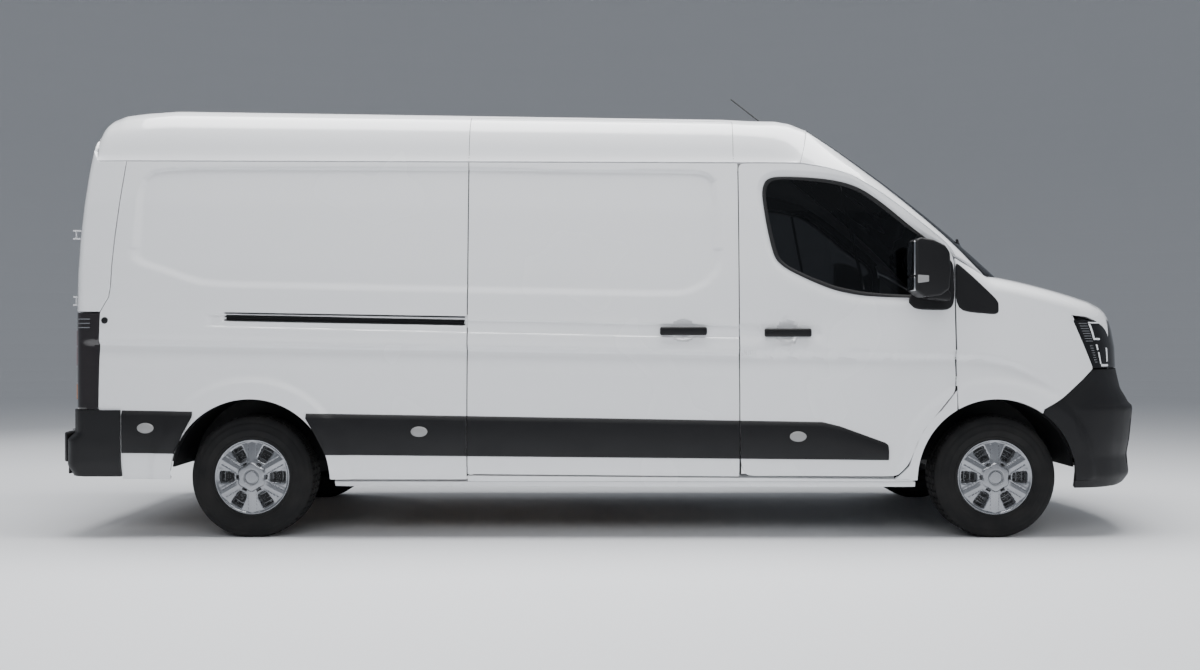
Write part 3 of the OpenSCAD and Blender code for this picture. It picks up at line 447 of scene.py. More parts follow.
class Value:
    """A shader socket that takes part in arithmetic, inside the node tree it belongs to."""

    def __init__(self, tree, socket=None):
        self.tree, self.socket = tree, socket

    def feed(self, socket, value):
        if isinstance(value, Value):
            self.tree.links.new(value.socket, socket)
        elif value is not None:
            socket.default_value = value

    def make(self, kind, settings=None, inputs=None, out=0):
        node = self.tree.nodes.new(kind)
        for name, value in (settings or {}).items():
            setattr(node, name, value)
        for name, value in (inputs or {}).items():
            self.feed(node.inputs[name], value)
        return Value(self.tree, node.outputs[out])

    def maths(self, operation, a, b=None):
        return self.make("ShaderNodeMath", {"operation": operation}, {0: a, 1: b} if b is not None else {0: a})

    def __add__(self, other):
        return self.maths("ADD", self, other)

    def __sub__(self, other):
        return self.maths("SUBTRACT", self, other)

    def __mul__(self, other):
        return self.maths("MULTIPLY", self, other)

    def __truediv__(self, other):
        return self.maths("DIVIDE", self, other)

    __radd__, __rmul__ = __add__, __mul__

    def __rsub__(self, other):
        return self.maths("SUBTRACT", other, self)

    def between(self, low, high):
        """How far the value lies from low to high, from 0 to 1."""
        return self.make("ShaderNodeMapRange", {"clamp": True},
                         {"Value": self, "From Min": low, "From Max": high})

    def colours(self, a, b):
        """Colour a where the value is 0, b where it is 1."""
        return self.make("ShaderNodeMix", {"data_type": "RGBA"}, {0: self, 6: (*a, 1), 7: (*b, 1)}, out=2)


def noise(space, scale, detail=3.0):
    """Noise in the object's own coordinates, in metres."""
    place = space.make("ShaderNodeTexCoord", out=3)
    return space.make("ShaderNodeTexNoise", inputs={"Vector": place, "Scale": scale, "Detail": detail})


def material(name, inputs, build=None):
    """A Principled material; build(space, shader) may join procedural values to the shader."""
    mat = bpy.data.materials.new(name)
    mat.use_nodes = True
    tree = mat.node_tree
    shader = tree.nodes["Principled BSDF"]
    for key, value in inputs.items():
        shader.inputs[key].default_value = (*value, 1) if isinstance(value, tuple) else value
    if build:
        build(Value(tree), shader)
    return mat


def bumped(scale, strength, depth):
    """A build step that adds a fine grain to the surface."""
    def build(space, shader):
        bump = space.make("ShaderNodeBump", inputs={
            "Strength": strength, "Distance": depth, "Height": noise(space, scale)})
        space.feed(shader.inputs["Normal"], bump)
    return build


def paint_material(look):
    """Clear-coated paint with a faint haze and grain."""
    def build(space, shader):
        haze = noise(space, 1.3, 2.0)
        space.feed(shader.inputs["Roughness"], 0.22 + 0.06 * haze.between(0.35, 0.65))
        space.feed(shader.inputs["Normal"], space.make("ShaderNodeBump", inputs={
            "Strength": 0.03, "Distance": 0.0004, "Height": noise(space, 220, 1.0)}))
    return material("White paint", {
        "Base Color": tuple(look.colour), "Specular IOR Level": 0.5,
        "Coat Weight": look.coat, "Coat Roughness": 0.03, "Coat IOR": 1.5}, build)


def plastic_material(look):
    """Fine-grained black plastic for bumpers and cladding."""
    def build(space, shader):
        wear = noise(space, 6.0).between(0.3, 0.7)
        space.feed(shader.inputs["Roughness"], look.plastic_roughness - 0.05 + 0.1 * wear)
        space.feed(shader.inputs["Normal"], space.make("ShaderNodeBump", inputs={
            "Strength": 0.35, "Distance": 0.0006, "Height": noise(space, 900, 2.0)}))
    return material("Black textured plastic", {
        "Base Color": (0.007, 0.007, 0.008), "Specular IOR Level": 0.35}, build)


def rubber_material():
    """Dusty tyre rubber."""
    def build(space, shader):
        dust = noise(space, 9.0).between(0.35, 0.75)
        space.feed(shader.inputs["Base Color"], dust.colours((0.006, 0.006, 0.0065), (0.013, 0.0125, 0.012)))
        space.feed(shader.inputs["Normal"], space.make("ShaderNodeBump", inputs={
            "Strength": 0.3, "Distance": 0.0008, "Height": noise(space, 300, 3.0)}))
    return material("Tyre rubber", {"Roughness": 0.72, "Specular IOR Level": 0.3}, build)


def wheel_material():
    """Silver plastic that turns near black where the mesh's "dark" attribute says so: painted shade and dark steel in
    the cover's openings and slots, painted shade in the groove round its boss.
    """
    def build(space, shader):
        dark = space.make("ShaderNodeAttribute", {"attribute_name": "dark"}, out=2)
        # Painted shade: near black, not metallic and rougher where "dark" is 1.
        space.feed(shader.inputs["Base Color"], dark.colours((0.34, 0.35, 0.37), (0.006, 0.006, 0.007)))
        space.feed(shader.inputs["Metallic"], 0.8 - 0.8 * dark)
        space.feed(shader.inputs["Roughness"], 0.27 + 0.40 * dark)
    return material("Wheel silver with painted shade", {}, build)


def glass_material(tint):
    """Tinted panes: clear straight through, with a gloss that grows at grazing angles."""
    mat = bpy.data.materials.new("Tinted glass")
    mat.use_nodes = True
    space = Value(mat.node_tree)
    space.tree.nodes.remove(space.tree.nodes["Principled BSDF"])
    through = space.make("ShaderNodeBsdfTransparent", inputs={"Color": (tint, tint * 1.02, tint * 1.05, 1)})
    gloss = space.make("ShaderNodeBsdfGlossy", inputs={"Color": (0.75, 0.77, 0.8, 1), "Roughness": 0.02})
    share = space.make("ShaderNodeFresnel", inputs={"IOR": 1.5})
    mixed = space.make("ShaderNodeMixShader", inputs={0: share, 1: through, 2: gloss})
    output = next(n for n in space.tree.nodes if n.type == "OUTPUT_MATERIAL")
    space.feed(output.inputs["Surface"], mixed)
    return mat


def fabric_material():
    """Dark woven cloth of the seats."""
    def build(space, shader):
        place = space.make("ShaderNodeTexCoord", out=3)
        weave = space.make("ShaderNodeTexWave", {"bands_direction": "Z"}, {"Vector": place, "Scale": 160.0})
        across = space.make("ShaderNodeTexWave", {"bands_direction": "Y"}, {"Vector": place, "Scale": 160.0})
        cloth = (weave + across) * 0.5
        space.feed(shader.inputs["Base Color"], cloth.colours((0.018, 0.019, 0.022), (0.05, 0.052, 0.058)))
        space.feed(shader.inputs["Normal"], space.make("ShaderNodeBump", inputs={
            "Strength": 0.4, "Distance": 0.0008, "Height": cloth}))
    return material("Seat fabric", {"Roughness": 0.9, "Sheen Weight": 0.25}, build)


def all_materials(look):
    """Every material by its short name."""
    return {
        "paint": paint_material(look),
        "plastic": plastic_material(look),
        "gloss_black": material("Gloss black", {"Base Color": (0.008, 0.008, 0.009), "Roughness": 0.08}),
        # Black rubber for window seals, also used for the dark strips of painted shade behind panel gaps.
        "seal": material("Rubber seal and painted gap shade", {"Base Color": (0.01, 0.01, 0.011), "Roughness": 0.6}),
        "glass": glass_material(look.glass_tint),
        "rubber": rubber_material(),
        "wheel": wheel_material(),
        "chrome": material("Bright trim", {
            "Base Color": (0.75, 0.76, 0.78), "Metallic": 1.0, "Roughness": 0.12}),
        "strip": material("Lamp strip", {
            "Base Color": (0.85, 0.87, 0.9), "Roughness": 0.25, "Coat Weight": 0.5}),
        "lamp_grey": material("Lamp bars", {
            "Base Color": (0.32, 0.33, 0.35), "Metallic": 0.6, "Roughness": 0.25}),
        "red": material("Red lens", {
            "Base Color": (0.28, 0.008, 0.012), "Roughness": 0.08, "Coat Weight": 1.0}),
        "amber": material("Amber lens", {"Base Color": (0.75, 0.22, 0.02), "Roughness": 0.12}),
        "smoke": material("Smoked lens", {"Base Color": (0.014, 0.011, 0.012), "Roughness": 0.06,
                                          "Coat Weight": 1.0}),
        "marker": material("Marker lens", {"Base Color": (0.30, 0.30, 0.30), "Roughness": 0.2}),
        "cab": material("Cab plastic", {"Base Color": (0.035, 0.036, 0.04), "Roughness": 0.6},
                        bumped(700, 0.4, 0.0006)),
        "lining": material("Cab lining", {"Base Color": (0.30, 0.30, 0.30), "Roughness": 0.9},
                           bumped(500, 0.3, 0.0008)),
        "inner": material("Grey primer", {"Base Color": (0.62, 0.63, 0.64), "Roughness": 0.5}),
        "fabric": fabric_material(),
        "chassis": material("Chassis black", {"Base Color": (0.018, 0.018, 0.019), "Roughness": 0.6},
                            bumped(90, 0.3, 0.001)),
        "steel": material("Zinc steel", {"Base Color": (0.42, 0.43, 0.45), "Metallic": 1.0, "Roughness": 0.38}),
        "exhaust": material("Exhaust steel", {"Base Color": (0.30, 0.27, 0.24), "Metallic": 1.0,
                                              "Roughness": 0.45}, bumped(40, 0.2, 0.001)),
        "wood": material("Ply lining", {"Base Color": (0.30, 0.20, 0.11), "Roughness": 0.7},
                         bumped(60, 0.3, 0.0008)),
    }


CAD_FINISH = {
    "inner": ["cab_frame", "bulkhead", "cab_floor"],
    "wood": ["load_floor"],
    "chassis": ["front_suspension", "rear_axle", "chassis_frame", "engine_block"],
    "plastic": ["fuel_tank", "aerial", "wheel_housings", "scuttle_panel"],
    "exhaust": ["exhaust"],
    "steel": ["knuckle_left", "knuckle_right"],
    "paint": ["door_hinges"],
    "cab": ["dashboard"],
}
MAT = {}


def paint_cad_nodes():
    """Gives each CAD node that stays its finish."""
    for key, nodes in CAD_FINISH.items():
        for name in nodes:
            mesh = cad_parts[name].data
            mesh.materials.clear()
            mesh.materials.append(MAT[key])


# ---------------------------------------------------------------- fixed body panels

SIDE_REAR = -2773.0
REAR_EDGE = curve([
    [334, SIDE_REAR], [700, SIDE_REAR], [722, -2898], [1277, -2898], [1364, -2850], [1421, -2841], [1567, -2835],
    [1708, -2824], [1911, -2803], [2012, -2791], [2140, -2776]])
SILL_TOP = 334.0


def level_rows(x, low, fine=4.5):
    """Heights of a side panel's rows at x, which follow the body's long lines across the crease."""
    s = SLOPE * x
    return np.concatenate([
        np.linspace(low, 880, 42)[:-1], np.linspace(880, 1000 - s, 12)[:-1],
        np.linspace(1000 - s, 1290 - s, int(290 / fine))[:-1],
        np.linspace(1290 - s, 1660 - s, 46)[:-1], np.linspace(1660 - s, gutter(x) - GAP, 50)])


def side_panel_grid(x1, detail=True):
    """A side panel from the rear corner over the wheel arch to x1."""
    a = np.radians(np.arange(180, -0.1, -3.0))
    arch = [(AXLE_R + ARCH_R * math.cos(t), ARCH_Z + ARCH_R * math.sin(t)) for t in a]
    columns = ([(x, SILL_TOP) for x in np.linspace(SIDE_REAR, AXLE_R - ARCH_R - 6, 20)] + arch
               + [(x, SILL_TOP) for x in np.arange(AXLE_R + ARCH_R + 6, x1 - 8, 17)] + [(x1, SILL_TOP)])
    rows = []
    for x, low in columns:
        z = level_rows(x, low)
        keep = 1 - smooth(SIDE_REAR, SIDE_REAR + 173, x)
        rows.append(side_points(x + (REAR_EDGE(z) - SIDE_REAR) * keep, z, detail=detail))
    return np.array(rows)


def slide_door_grid():
    """The sliding door from its rear to its front seam."""
    return np.array([side_points(x, level_rows(x, 358 - SLOPE * x / 2))
                     for x in np.linspace(SLIDE[0], SLIDE[1], 88)])


def side_width(z):
    """Half the body's width at the rear face."""
    return SIDE(z + SLOPE * REAR_FACE)


def opening_half(z):
    """Half the rear opening's width at height z."""
    return np.minimum(OPENING_HALF, side_width(z) - 95)


def rear_top(y):
    """Height of the rear doors' upper edge, just under the roof's rear edge."""
    return roof_points(REAR_FACE + 115, y)[..., 2] - SEAM


def corner_grid(edge, low, high, inner=3.0, rows=60, rise=0.0):
    """The corner from a line edge(z) on the side round to the rear opening.

    With rise its top follows the roof's edge.
    """
    out = []
    for z in np.linspace(low, high, rows):
        w = float(side_width(z)) - 41
        lift = rise * (z - low) / (high - low)
        y = np.linspace(w, float(opening_half(z)) + inner, 12)[1:]
        corner = z + lift * max(float(rear_top(w)) - high, 0)
        end = float(REAR(corner) + rear_round(w))
        x = np.linspace(edge(z), end, 22)
        out.append(np.concatenate([side_points(x, z + (corner - z) * (1 - smooth(end, end + 45, x))),
                                   rear_points(-y, z + lift * np.maximum(rear_top(y) - high, 0))]))
    return np.array(out)


def build_sides():
    """Side panels, sliding door, rear corners and the sill."""
    panels = {"right": side_panel_grid(SLIDE[0] - SEAM),
              "left": mirrored(side_panel_grid(DOOR_REAR - GAP, LEFT))}
    for side, grid in panels.items():
        add(panel_bmesh(grid), f"skin_side_{side}", MAT["paint"], replaces=[f"side_panel_{side}"])
    add(panel_bmesh(slide_door_grid()), "skin_sliding_door", MAT["paint"], replaces=["sliding_door"])
    corner = corner_grid(lambda z: float(REAR_EDGE(z)) - SEAM, LAMP_HIGH + GAP, gutter(POST_X) - GAP, rise=1.0)
    for side, grid in both(corner):
        add(panel_bmesh(grid), f"skin_rear_corner_{side}", MAT["paint"],
            replaces=["rear_corner_posts"] if side == "right" else ())
    white = np.array([side_points(x, np.linspace(322, 348 - SLOPE * x / 2, 5)) for x in
                      np.linspace(SLIDE[0], AXLE_F - 470, 90)])
    grey = np.array([side_points(x, np.linspace(290, 318, 5), -16) for x in
                     np.linspace(AXLE_R + ARCH_R + 20, AXLE_F - 455, 60)])
    for side, grid in both(white):
        add(panel_bmesh(grid, bevel=1.5), f"sill_{side}", MAT["paint"])
    for side, grid in both(grey):
        add(panel_bmesh(grid, depth=30, bevel=1.5), f"sill_strip_{side}", MAT["paint"])
    lining = np.array([side_points(np.linspace(POST_X - 60, SLIDE[0], 60), z, -WALL, False)
                       for z in np.linspace(800, 2120, 20)])
    for side, grid in both(lining):
        add(panel_bmesh(grid, bevel=0), f"load_lining_{side}", MAT["inner"])


def build_seams():
    """Dark strips behind the gaps between the side's panels, as painted shade in the gaps."""
    for side, sign in (("right", 1), ("left", -1)):
        lines = [([DOOR_REAR, DOOR_REAR], [360, gutter(DOOR_REAR)]), ([DOOR_FRONT, DOOR_FRONT], [800, 1560]),
                 ([POST_X - 12, DOOR_REAR, AXLE_F - 1092], [gutter(0)] * 3),
                 (PILLAR_EDGE[:8, 0], PILLAR_EDGE[:8, 1])]
        if side == "right":
            lines.append(([SLIDE[0] - GAP] * 2, [350, gutter(SLIDE[0])]))
        for k, (xs, zs) in enumerate(lines):
            p = np.stack([xs, zs], 1).astype(float)
            t = np.linspace(0, len(p) - 1, 90)
            x, z = (np.interp(t, range(len(p)), p[:, a]) for a in (0, 1))
            d = np.stack([np.gradient(x), np.gradient(z)], 1)
            d /= np.linalg.norm(d, axis=1)[:, None]
            grid = np.array([side_points(x + w * d[:, 1], z - w * d[:, 0], -SEAM_SINK, False)
                             for w in (-SEAM_HALF, 0.0, SEAM_HALF)])
            bm = grid_bmesh(grid * np.array([1, sign, 1]))
            face_outward(bm)
            # Painted shade: a near black strip sunk behind the panel gap.
            add(bm, f"seam_{side}_{k}", MAT["seal"])


def roof_section_rows(n):
    """Places across the roof, evenly spaced along its curve."""
    y = np.linspace(0, HALF - 108, 400)
    length = np.concatenate([[0], np.cumsum(np.hypot(np.diff(y), np.diff(ROOF_SECTION(y))))])
    half = np.interp(np.linspace(0, length[-1], n), length, y)
    return np.concatenate([-half[::-1], half[1:]])


def roof_front_edge(y):
    """The edge along the windscreen's top and the pillars' tops, just behind them."""
    half = screen_half(0)
    s = np.linspace(0, 1, 14)[:, None]
    a = side_points(*PILLAR_EDGE[0])
    b = screen_points(0, -half - 1)
    side = (a + s * (b - a) + 60 * s * (1 - s) * np.array([0.3, -0.7, 0.6]))[::-1]
    middle = screen_points(0, -np.linspace(0, half, 30))
    edge = np.concatenate([middle, side])
    return np.stack([np.interp(np.abs(y), -edge[:, 1], edge[:, 0]) - 2, y,
                     np.interp(np.abs(y), -edge[:, 1], edge[:, 2])], -1)


def build_roof():
    """Roof skin with pressed ribs, the sliding door's upper seam as dark strips of painted shade, and the cab's
    lining.
    """
    y = roof_section_rows(52)
    x = np.concatenate([np.linspace(REAR_FACE + 115, REAR_FACE + 300, 22)[:-1],
                        np.linspace(REAR_FACE + 300, AXLE_F - 1300, 110)[:-1],
                        np.linspace(AXLE_F - 1300, SCREEN_TOP[0] - 5, 26)])
    grid = np.array([roof_points(s, y) for s in x])
    pull = np.clip((x - (AXLE_F - 1420)) / (x[-1] - (AXLE_F - 1420)), 0, 1) ** 2
    grid += pull[:, None, None] * (roof_front_edge(y) - grid[-1])
    a = np.abs(grid[..., 1])
    ribs = sum(np.exp(-((a - c) / 18) ** 2) for c in (0, 210, 420))
    ribs = ribs * smooth(REAR_FACE + 420, REAR_FACE + 480, grid[..., 0])
    grid[..., 2] += 5 * ribs * (1 - smooth(AXLE_F - 1420, AXLE_F - 1360, grid[..., 0]))
    add(panel_bmesh(grid), "skin_roof", MAT["paint"], replaces=["roof"])
    inner = np.array([roof_points(s, y[::4], WALL) for s in x[::6]])
    add(panel_bmesh(inner, bevel=0), "roof_lining", MAT["lining"])
    low, high = -(HALF - 108.5), -(HALF - 268)
    up = np.linspace(low, high, 40)
    along = np.linspace(SLIDE[0] - GAP, SLIDE[1] + GAP, 120)
    lines = [(np.full(40, SLIDE[0] - GAP), up, True), (np.full(40, SLIDE[1] + GAP), up, True),
             (along, np.full(120, high), False)]
    # Painted shade: dark strips laid on the roof along the sliding door's gaps.
    for k, (xs, ys, upright) in enumerate(lines):
        wide = np.array([-3.0, -1.0, 1.0, 3.0])[:, None]
        lift = np.array([-2.0, 0.5, 0.5, -2.0])[:, None]
        a, b = (xs + wide, ys + 0 * wide) if upright else (xs + 0 * wide, ys + wide)
        bm = grid_bmesh(roof_points(a, b, -lift))
        face_outward(bm)
        add(bm, f"door_seam_{k}", MAT["seal"])


def pillar_grid():
    """The pillar's skin, from the cab door's edge across to the windscreen."""
    rows = []
    for t in np.linspace(0, 1, 50):
        e = [float(curve(np.stack([np.linspace(0, 1, 9), PILLAR_EDGE[:, k]], 1), 0.04)(t)) for k in (0, 1)]
        a = side_points(*e)
        b = screen_points(t, -screen_half(t) - 1)
        s = np.linspace(0, 1, 14)[:, None]
        rows.append(a + s * (b - a) + 60 * s * (1 - s) * np.array([0.3, -0.7, 0.6]))
    return np.array(rows)


def screen_grid(n, m):
    """The windscreen as n rows of m places."""
    return np.array([screen_points(t, np.linspace(-1, 1, m) * screen_half(t)) for t in np.linspace(0, 1, n)])


def build_screen():
    """Windscreen, its dark border, the pillars beside it and the wipers."""
    add(panel_bmesh(screen_grid(40, 60), depth=6, bevel=1.0), "screen_glass", MAT["glass"],
        replaces=["windscreen"])
    for side, grid in both(pillar_grid()):
        add(panel_bmesh(grid), f"skin_pillar_{side}", MAT["paint"],
            replaces=["windscreen_pillars"] if side == "right" else ())
    across, down = np.linspace(-1, 1, 40), np.linspace(0, 1, 30)
    loop = ([(0, s) for s in across] + [(t, 1) for t in down[1:]] + [(1, s) for s in across[-2::-1]]
            + [(t, -1) for t in down[-2:0:-1]])
    border = []
    for t, s in loop:
        row = []
        for inset in (-0.012, 0.015, 0.04, 0.075):
            at = float(np.clip(t, inset, 1 - inset))
            if inset < 0:
                at = {0: inset, 1: 1 - inset}.get(t, t)
            row.append(screen_points(at, s * (screen_half(at) - inset * 900 * abs(s)), 7))
        border.append(row)
    bm = grid_bmesh(np.array(border), ring=True)
    face_outward(bm)
    add(bm, "screen_border", MAT["gloss_black"])
    bm = bmesh.new()
    for y0, y1, t1 in ((560, 60, 0.78), (-120, -640, 0.80)):
        foot = screen_points(0.995, y0, -30)
        tip = screen_points(t1, (y0 + y1) / 2 - 40, -22)
        rod(bm, foot, tip, 7)
        blade = [screen_points(t1 + 0.10, (y0 + y1) / 2 + 260, -12),
                 screen_points(t1 - 0.02, (y0 + y1) / 2 - 320, -12)]
        rod(bm, *blade, 8)
        rod(bm, screen_points(0.995, y0, 12), screen_points(0.995, y0, -40), 13)
    add(bm, "wipers", MAT["plastic"])


def wing_grid():
    """The wing from the door's edge round the arch and up behind the lamp."""
    a = np.radians(np.arange(119, 54, -2.2))
    over_bumper = np.linspace(2432, 2733, 22)
    bottom = ([(DOOR_FRONT + SEAM, 768)]
              + [(AXLE_F + ARCH_R * math.cos(t), ARCH_Z + ARCH_R * math.sin(t)) for t in a]
              + list(zip(over_bumper, np.interp(over_bumper, [2427, 2543, 2664, 2738], [728, 792, 894, 960]))))
    top = list(np.linspace(DOOR_FRONT + SEAM, 2530, len(bottom)))
    lamp = [(2738 - 133 * s, 960 + 300 * s) for s in np.linspace(0.03, 1, 26)]
    over = list(zip(np.linspace(2612, 2868, 26), np.linspace(1264, 1240, 26)))
    bottom += lamp + over
    top += list(np.linspace(2531, 2600, 26)) + list(np.linspace(2604, 2868, 26))
    rows = []
    for (x0, z0), x1 in zip(bottom, top):
        top_y, top_z = (float(v) for v in wing_top(x1))
        shoulder = top_z - SHOULDER
        low = min(z0, shoulder - 2)
        t = np.linspace(0, 1, 46)
        x = x0 + (x1 - x0) * t
        row = list(side_points(x, low + (shoulder - low) * t))
        reach = float(side_half(x1, shoulder)) - top_y
        for turn in np.linspace(0, math.pi / 2, 17)[1:]:
            row.append(np.array([x1, -top_y - reach * math.cos(turn), shoulder + SHOULDER * math.sin(turn)]))
        rows.append(row)
    return np.array(rows)


def arch_strip_grid():
    """The narrow piece of body between the front arch and the cab door, up to the wing's edge."""
    end = math.degrees(math.acos((DOOR_FRONT + 1 - AXLE_F) / ARCH_R))
    rows = []
    for t in np.linspace(0, 1, 60):
        low, high = math.radians(181 + (end - 181) * t), math.radians(181 + (114.6 - 181) * t)
        reach = float(np.interp(math.degrees(high), [114.6, 122, 129, 145, 165, 170, 172, 176, 178.5, 181],
                                [545, 515, 499, 497, 496, 499, 503, 531, 556, 575]))
        a = np.array([AXLE_F + ARCH_R * math.cos(low), ARCH_Z + ARCH_R * math.sin(low)])
        b = np.array([AXLE_F + reach * math.cos(high), ARCH_Z + reach * math.sin(high)])
        p = a + (b - a) * np.linspace(0, 1, 8)[:, None]
        rows.append(side_points(np.minimum(p[:, 0], DOOR_FRONT + 1), p[:, 1]))
    return np.array(rows)


def bonnet_grid():
    """The bonnet from the windscreen's foot to its lip, with a ridge along each edge."""
    x = np.concatenate([np.linspace(AXLE_F + 206, LIP[0], 50)[:-1], np.linspace(LIP[0], FRONT_X - 131, 16)])
    y = np.linspace(-BONNET_HALF, BONNET_HALF, 90)
    grid = np.array([np.stack([s - front_round(y), y, np.full_like(y, BONNET(s))], -1) for s in x])
    ridge = 7 * (smooth(470, 560, np.abs(y)) - smooth(640, 793, np.abs(y)) * 0.9)
    grid[..., 2] += ridge * (1 - smooth(LIP[0] + 60, FRONT_X - 140, x))[:, None]
    return grid


def build_front():
    """Wings, bonnet, bumper, grille and headlights."""
    for side, grid in both(wing_grid()):
        add(panel_bmesh(grid, depth=14, bevel=2), f"skin_wing_{side}", MAT["paint"],
            replaces=["front_wings"] if side == "right" else ())
    for side, grid in both(arch_strip_grid()):
        add(panel_bmesh(grid, depth=20, bevel=1.5), f"arch_strip_{side}", MAT["paint"])
    add(panel_bmesh(bonnet_grid(), depth=25), "skin_bonnet", MAT["paint"], body="bonnet", replaces=["bonnet"])
    for side, grid in both(bumper_grid()):
        add(panel_bmesh(grid, depth=25, bevel=4), f"skin_bumper_{side}", MAT["plastic"],
            replaces=["front_bumper"] if side == "right" else ())
    build_grille()
    build_headlights()


def bumper_top(x):
    """Height of the bumper's upper edge at x on the side."""
    return np.interp(x, [AXLE_F + 258, 2543, 2664, 2738], [724, 786, 888, 953])


def bumper_relief(x, y, z):
    """Ledge, corner slots and lower intake of the bumper, outward in millimetres."""
    ledge = 14 * (1 - smooth(735, 760, z)) * smooth(AXLE_F + 420, AXLE_F + 560, x)
    slot = smooth(690, 705, np.abs(y)) * (1 - smooth(765, 780, np.abs(y)))
    slot = slot * smooth(392, 404, z) * (1 - smooth(655, 668, z))
    intake = (1 - smooth(500, 540, np.abs(y))) * smooth(352, 366, z) * (1 - smooth(610, 640, z))
    return ledge - 26 * slot - 34 * intake


def bumper_grid():
    """Right half of the bumper, from the wheel arch to the middle of the nose."""
    rows = []
    for x in np.concatenate([np.linspace(AXLE_F + 262, AXLE_F + ARCH_R, 16),
                             np.linspace(AXLE_F + ARCH_R + 3, FRONT_X - 290, 16)]):
        d = x - AXLE_F
        low = ARCH_Z + math.sqrt(ARCH_R ** 2 - d * d) if d < ARCH_R else BUMPER_LOW
        z = np.linspace(low, max(float(bumper_top(x)), low + 4), 60)
        p = side_points(x, z)
        p[:, 1] -= bumper_relief(p[:, 0], p[:, 1], z) * 0.6
        rows.append(p)
    for y in np.concatenate([np.linspace(-875, -GRILLE_HALF - 8, 44), np.linspace(-GRILLE_HALF, 0, 46)]):
        top = 955.0 if y < -GRILLE_HALF else 850.0
        z = np.linspace(BUMPER_LOW, top, 60)
        p = front_points(y, z)
        side = side_points(p[:, 0], z)
        p[:, 1] = np.maximum(p[:, 1], side[:, 1])
        p[:, 0] = np.minimum(p[:, 0] + bumper_relief(p[:, 0], p[:, 1], z) * 0.9, FRONT_X)
        rows.append(p)
    return np.array(rows)


def build_grille():
    """Dark grille with level bars between the lamps, and bars in the lower intake."""
    y = np.linspace(-GRILLE_HALF, GRILLE_HALF, 80)
    back = np.array([front_points(y, z, -32) for z in np.linspace(GRILLE_LOW, GRILLE_HIGH, 60)])
    add(panel_bmesh(back, depth=4, bevel=0), "grille_back", MAT["seal"], replaces=["grille"])
    across, up = np.linspace(-1, 1, 40), np.linspace(GRILLE_LOW, GRILLE_HIGH, 20)
    loop = ([(s, GRILLE_LOW) for s in across] + [(1, z) for z in up[1:]]
            + [(s, GRILLE_HIGH) for s in across[-2::-1]] + [(-1, z) for z in up[-2:0:-1]])
    frame_rows = []
    for share, z in loop:
        row = []
        for inset, out in ((0, -30), (0, 0), (6, 4), (26, 4), (34, -24)):
            at = math.copysign(min(abs(share) * GRILLE_HALF, GRILLE_HALF - inset), share)
            row.append(front_points(at, min(max(z, GRILLE_LOW + inset), GRILLE_HIGH - inset), out))
        frame_rows.append(row)
    ring = grid_bmesh(np.array(frame_rows), ring=True)
    face_outward(ring)
    add(ring, "grille_frame", MAT["gloss_black"])
    for k, s in enumerate(np.linspace(915, 1165, 5)):
        rows = [front_points(np.linspace(-GRILLE_HALF + 26, GRILLE_HALF - 26, 60), s + dz, out)
                for dz, out in ((-14, -26), (-12, -4), (-4, 1), (6, 1), (14, -6), (15, -26))]
        part = grid_bmesh(np.array(rows))
        face_outward(part)
        add(part, f"grille_bar_{k}", MAT["chrome"] if k == 4 else MAT["plastic"])
    for k, s in enumerate((420, 490, 560)):
        rows = [front_points(np.linspace(-500, 500, 50), s + dz, out)
                for dz, out in ((-12, -36), (-9, -14), (0, -8), (9, -14), (12, -36))]
        part = grid_bmesh(np.array(rows))
        face_outward(part)
        add(part, f"intake_bar_{k}", MAT["plastic"])


def lamp_rear_edge(z):
    """Where the headlight's rear edge stands at height z."""
    return np.interp(z, [960, 1262], [2741, 2611])


def lamp_points(z, s, out=0.0):
    """A place on the headlight at height z, s from 0 at its rear edge to 1 at its inner edge."""
    z, s = np.broadcast_arrays(np.asarray(z, float), np.asarray(s, float))
    corner_x = NOSE(z) - front_round(868.0)
    side = side_points(lamp_rear_edge(z) + (corner_x - lamp_rear_edge(z)) * np.minimum(s * 2, 1), z, out)
    y = -868 + (868 - GRILLE_HALF - SEAM) * np.maximum(s * 2 - 1, 0)
    front = front_points(y, z, out)
    front[..., 1] = np.maximum(front[..., 1], side[..., 1])
    t = smooth(0.44, 0.56, s)[..., None]
    return side * (1 - t) + front * t


def lamp_patch(z0, z1, s0, s1, out, n, m):
    """A raised strip on the headlight between two heights and two places round it."""
    return np.array([lamp_points(z, np.linspace(s0, s1, m), out if 0 < k < n - 1 else -4)
                     for k, z in enumerate(np.linspace(z0, z1, n))])


def build_headlights():
    """Dark lamp units with grey bars and a light strip in two parts."""
    base = np.array([lamp_points(z, np.linspace(0, 1, 70)) for z in np.linspace(962, 1232, 50)])
    for side, grid in both(base):
        add(panel_bmesh(grid, bevel=2), f"lamp_{side}", MAT["gloss_black"],
            replaces=["headlights"] if side == "right" else ())
    bars = ([(z, 0.055, 0.20) for z in np.linspace(1112, 1212, 8)]
            + [(z, 0.10, 0.17) for z in np.linspace(992, 1085, 8)])
    strips = [(1215, 1226, 0.225, 0.44), (1120, 1226, 0.222, 0.258), (1120, 1134, 0.222, 0.36),
              (1060, 1100, 0.235, 0.27), (975, 1062, 0.245, 0.28), (968, 985, 0.26, 0.5), (985, 1090, 0.46, 0.50)]
    for sign, side in ((1, "right"), (-1, "left")):
        flip = np.array([1, sign, 1])
        for k, (z, s0, s1) in enumerate(bars):
            bm = grid_bmesh(lamp_patch(z, z + 7.5, s0, s1, 2.0, 4, 8) * flip)
            face_outward(bm)
            add(bm, f"lamp_bar_{side}_{k}", MAT["lamp_grey"])
        for k, (z0, z1, s0, s1) in enumerate(strips):
            bm = grid_bmesh(lamp_patch(z0, z1, s0, s1, 3.0, 6, 12) * flip)
            face_outward(bm)
            add(bm, f"lamp_strip_{side}_{k}", MAT["strip"])


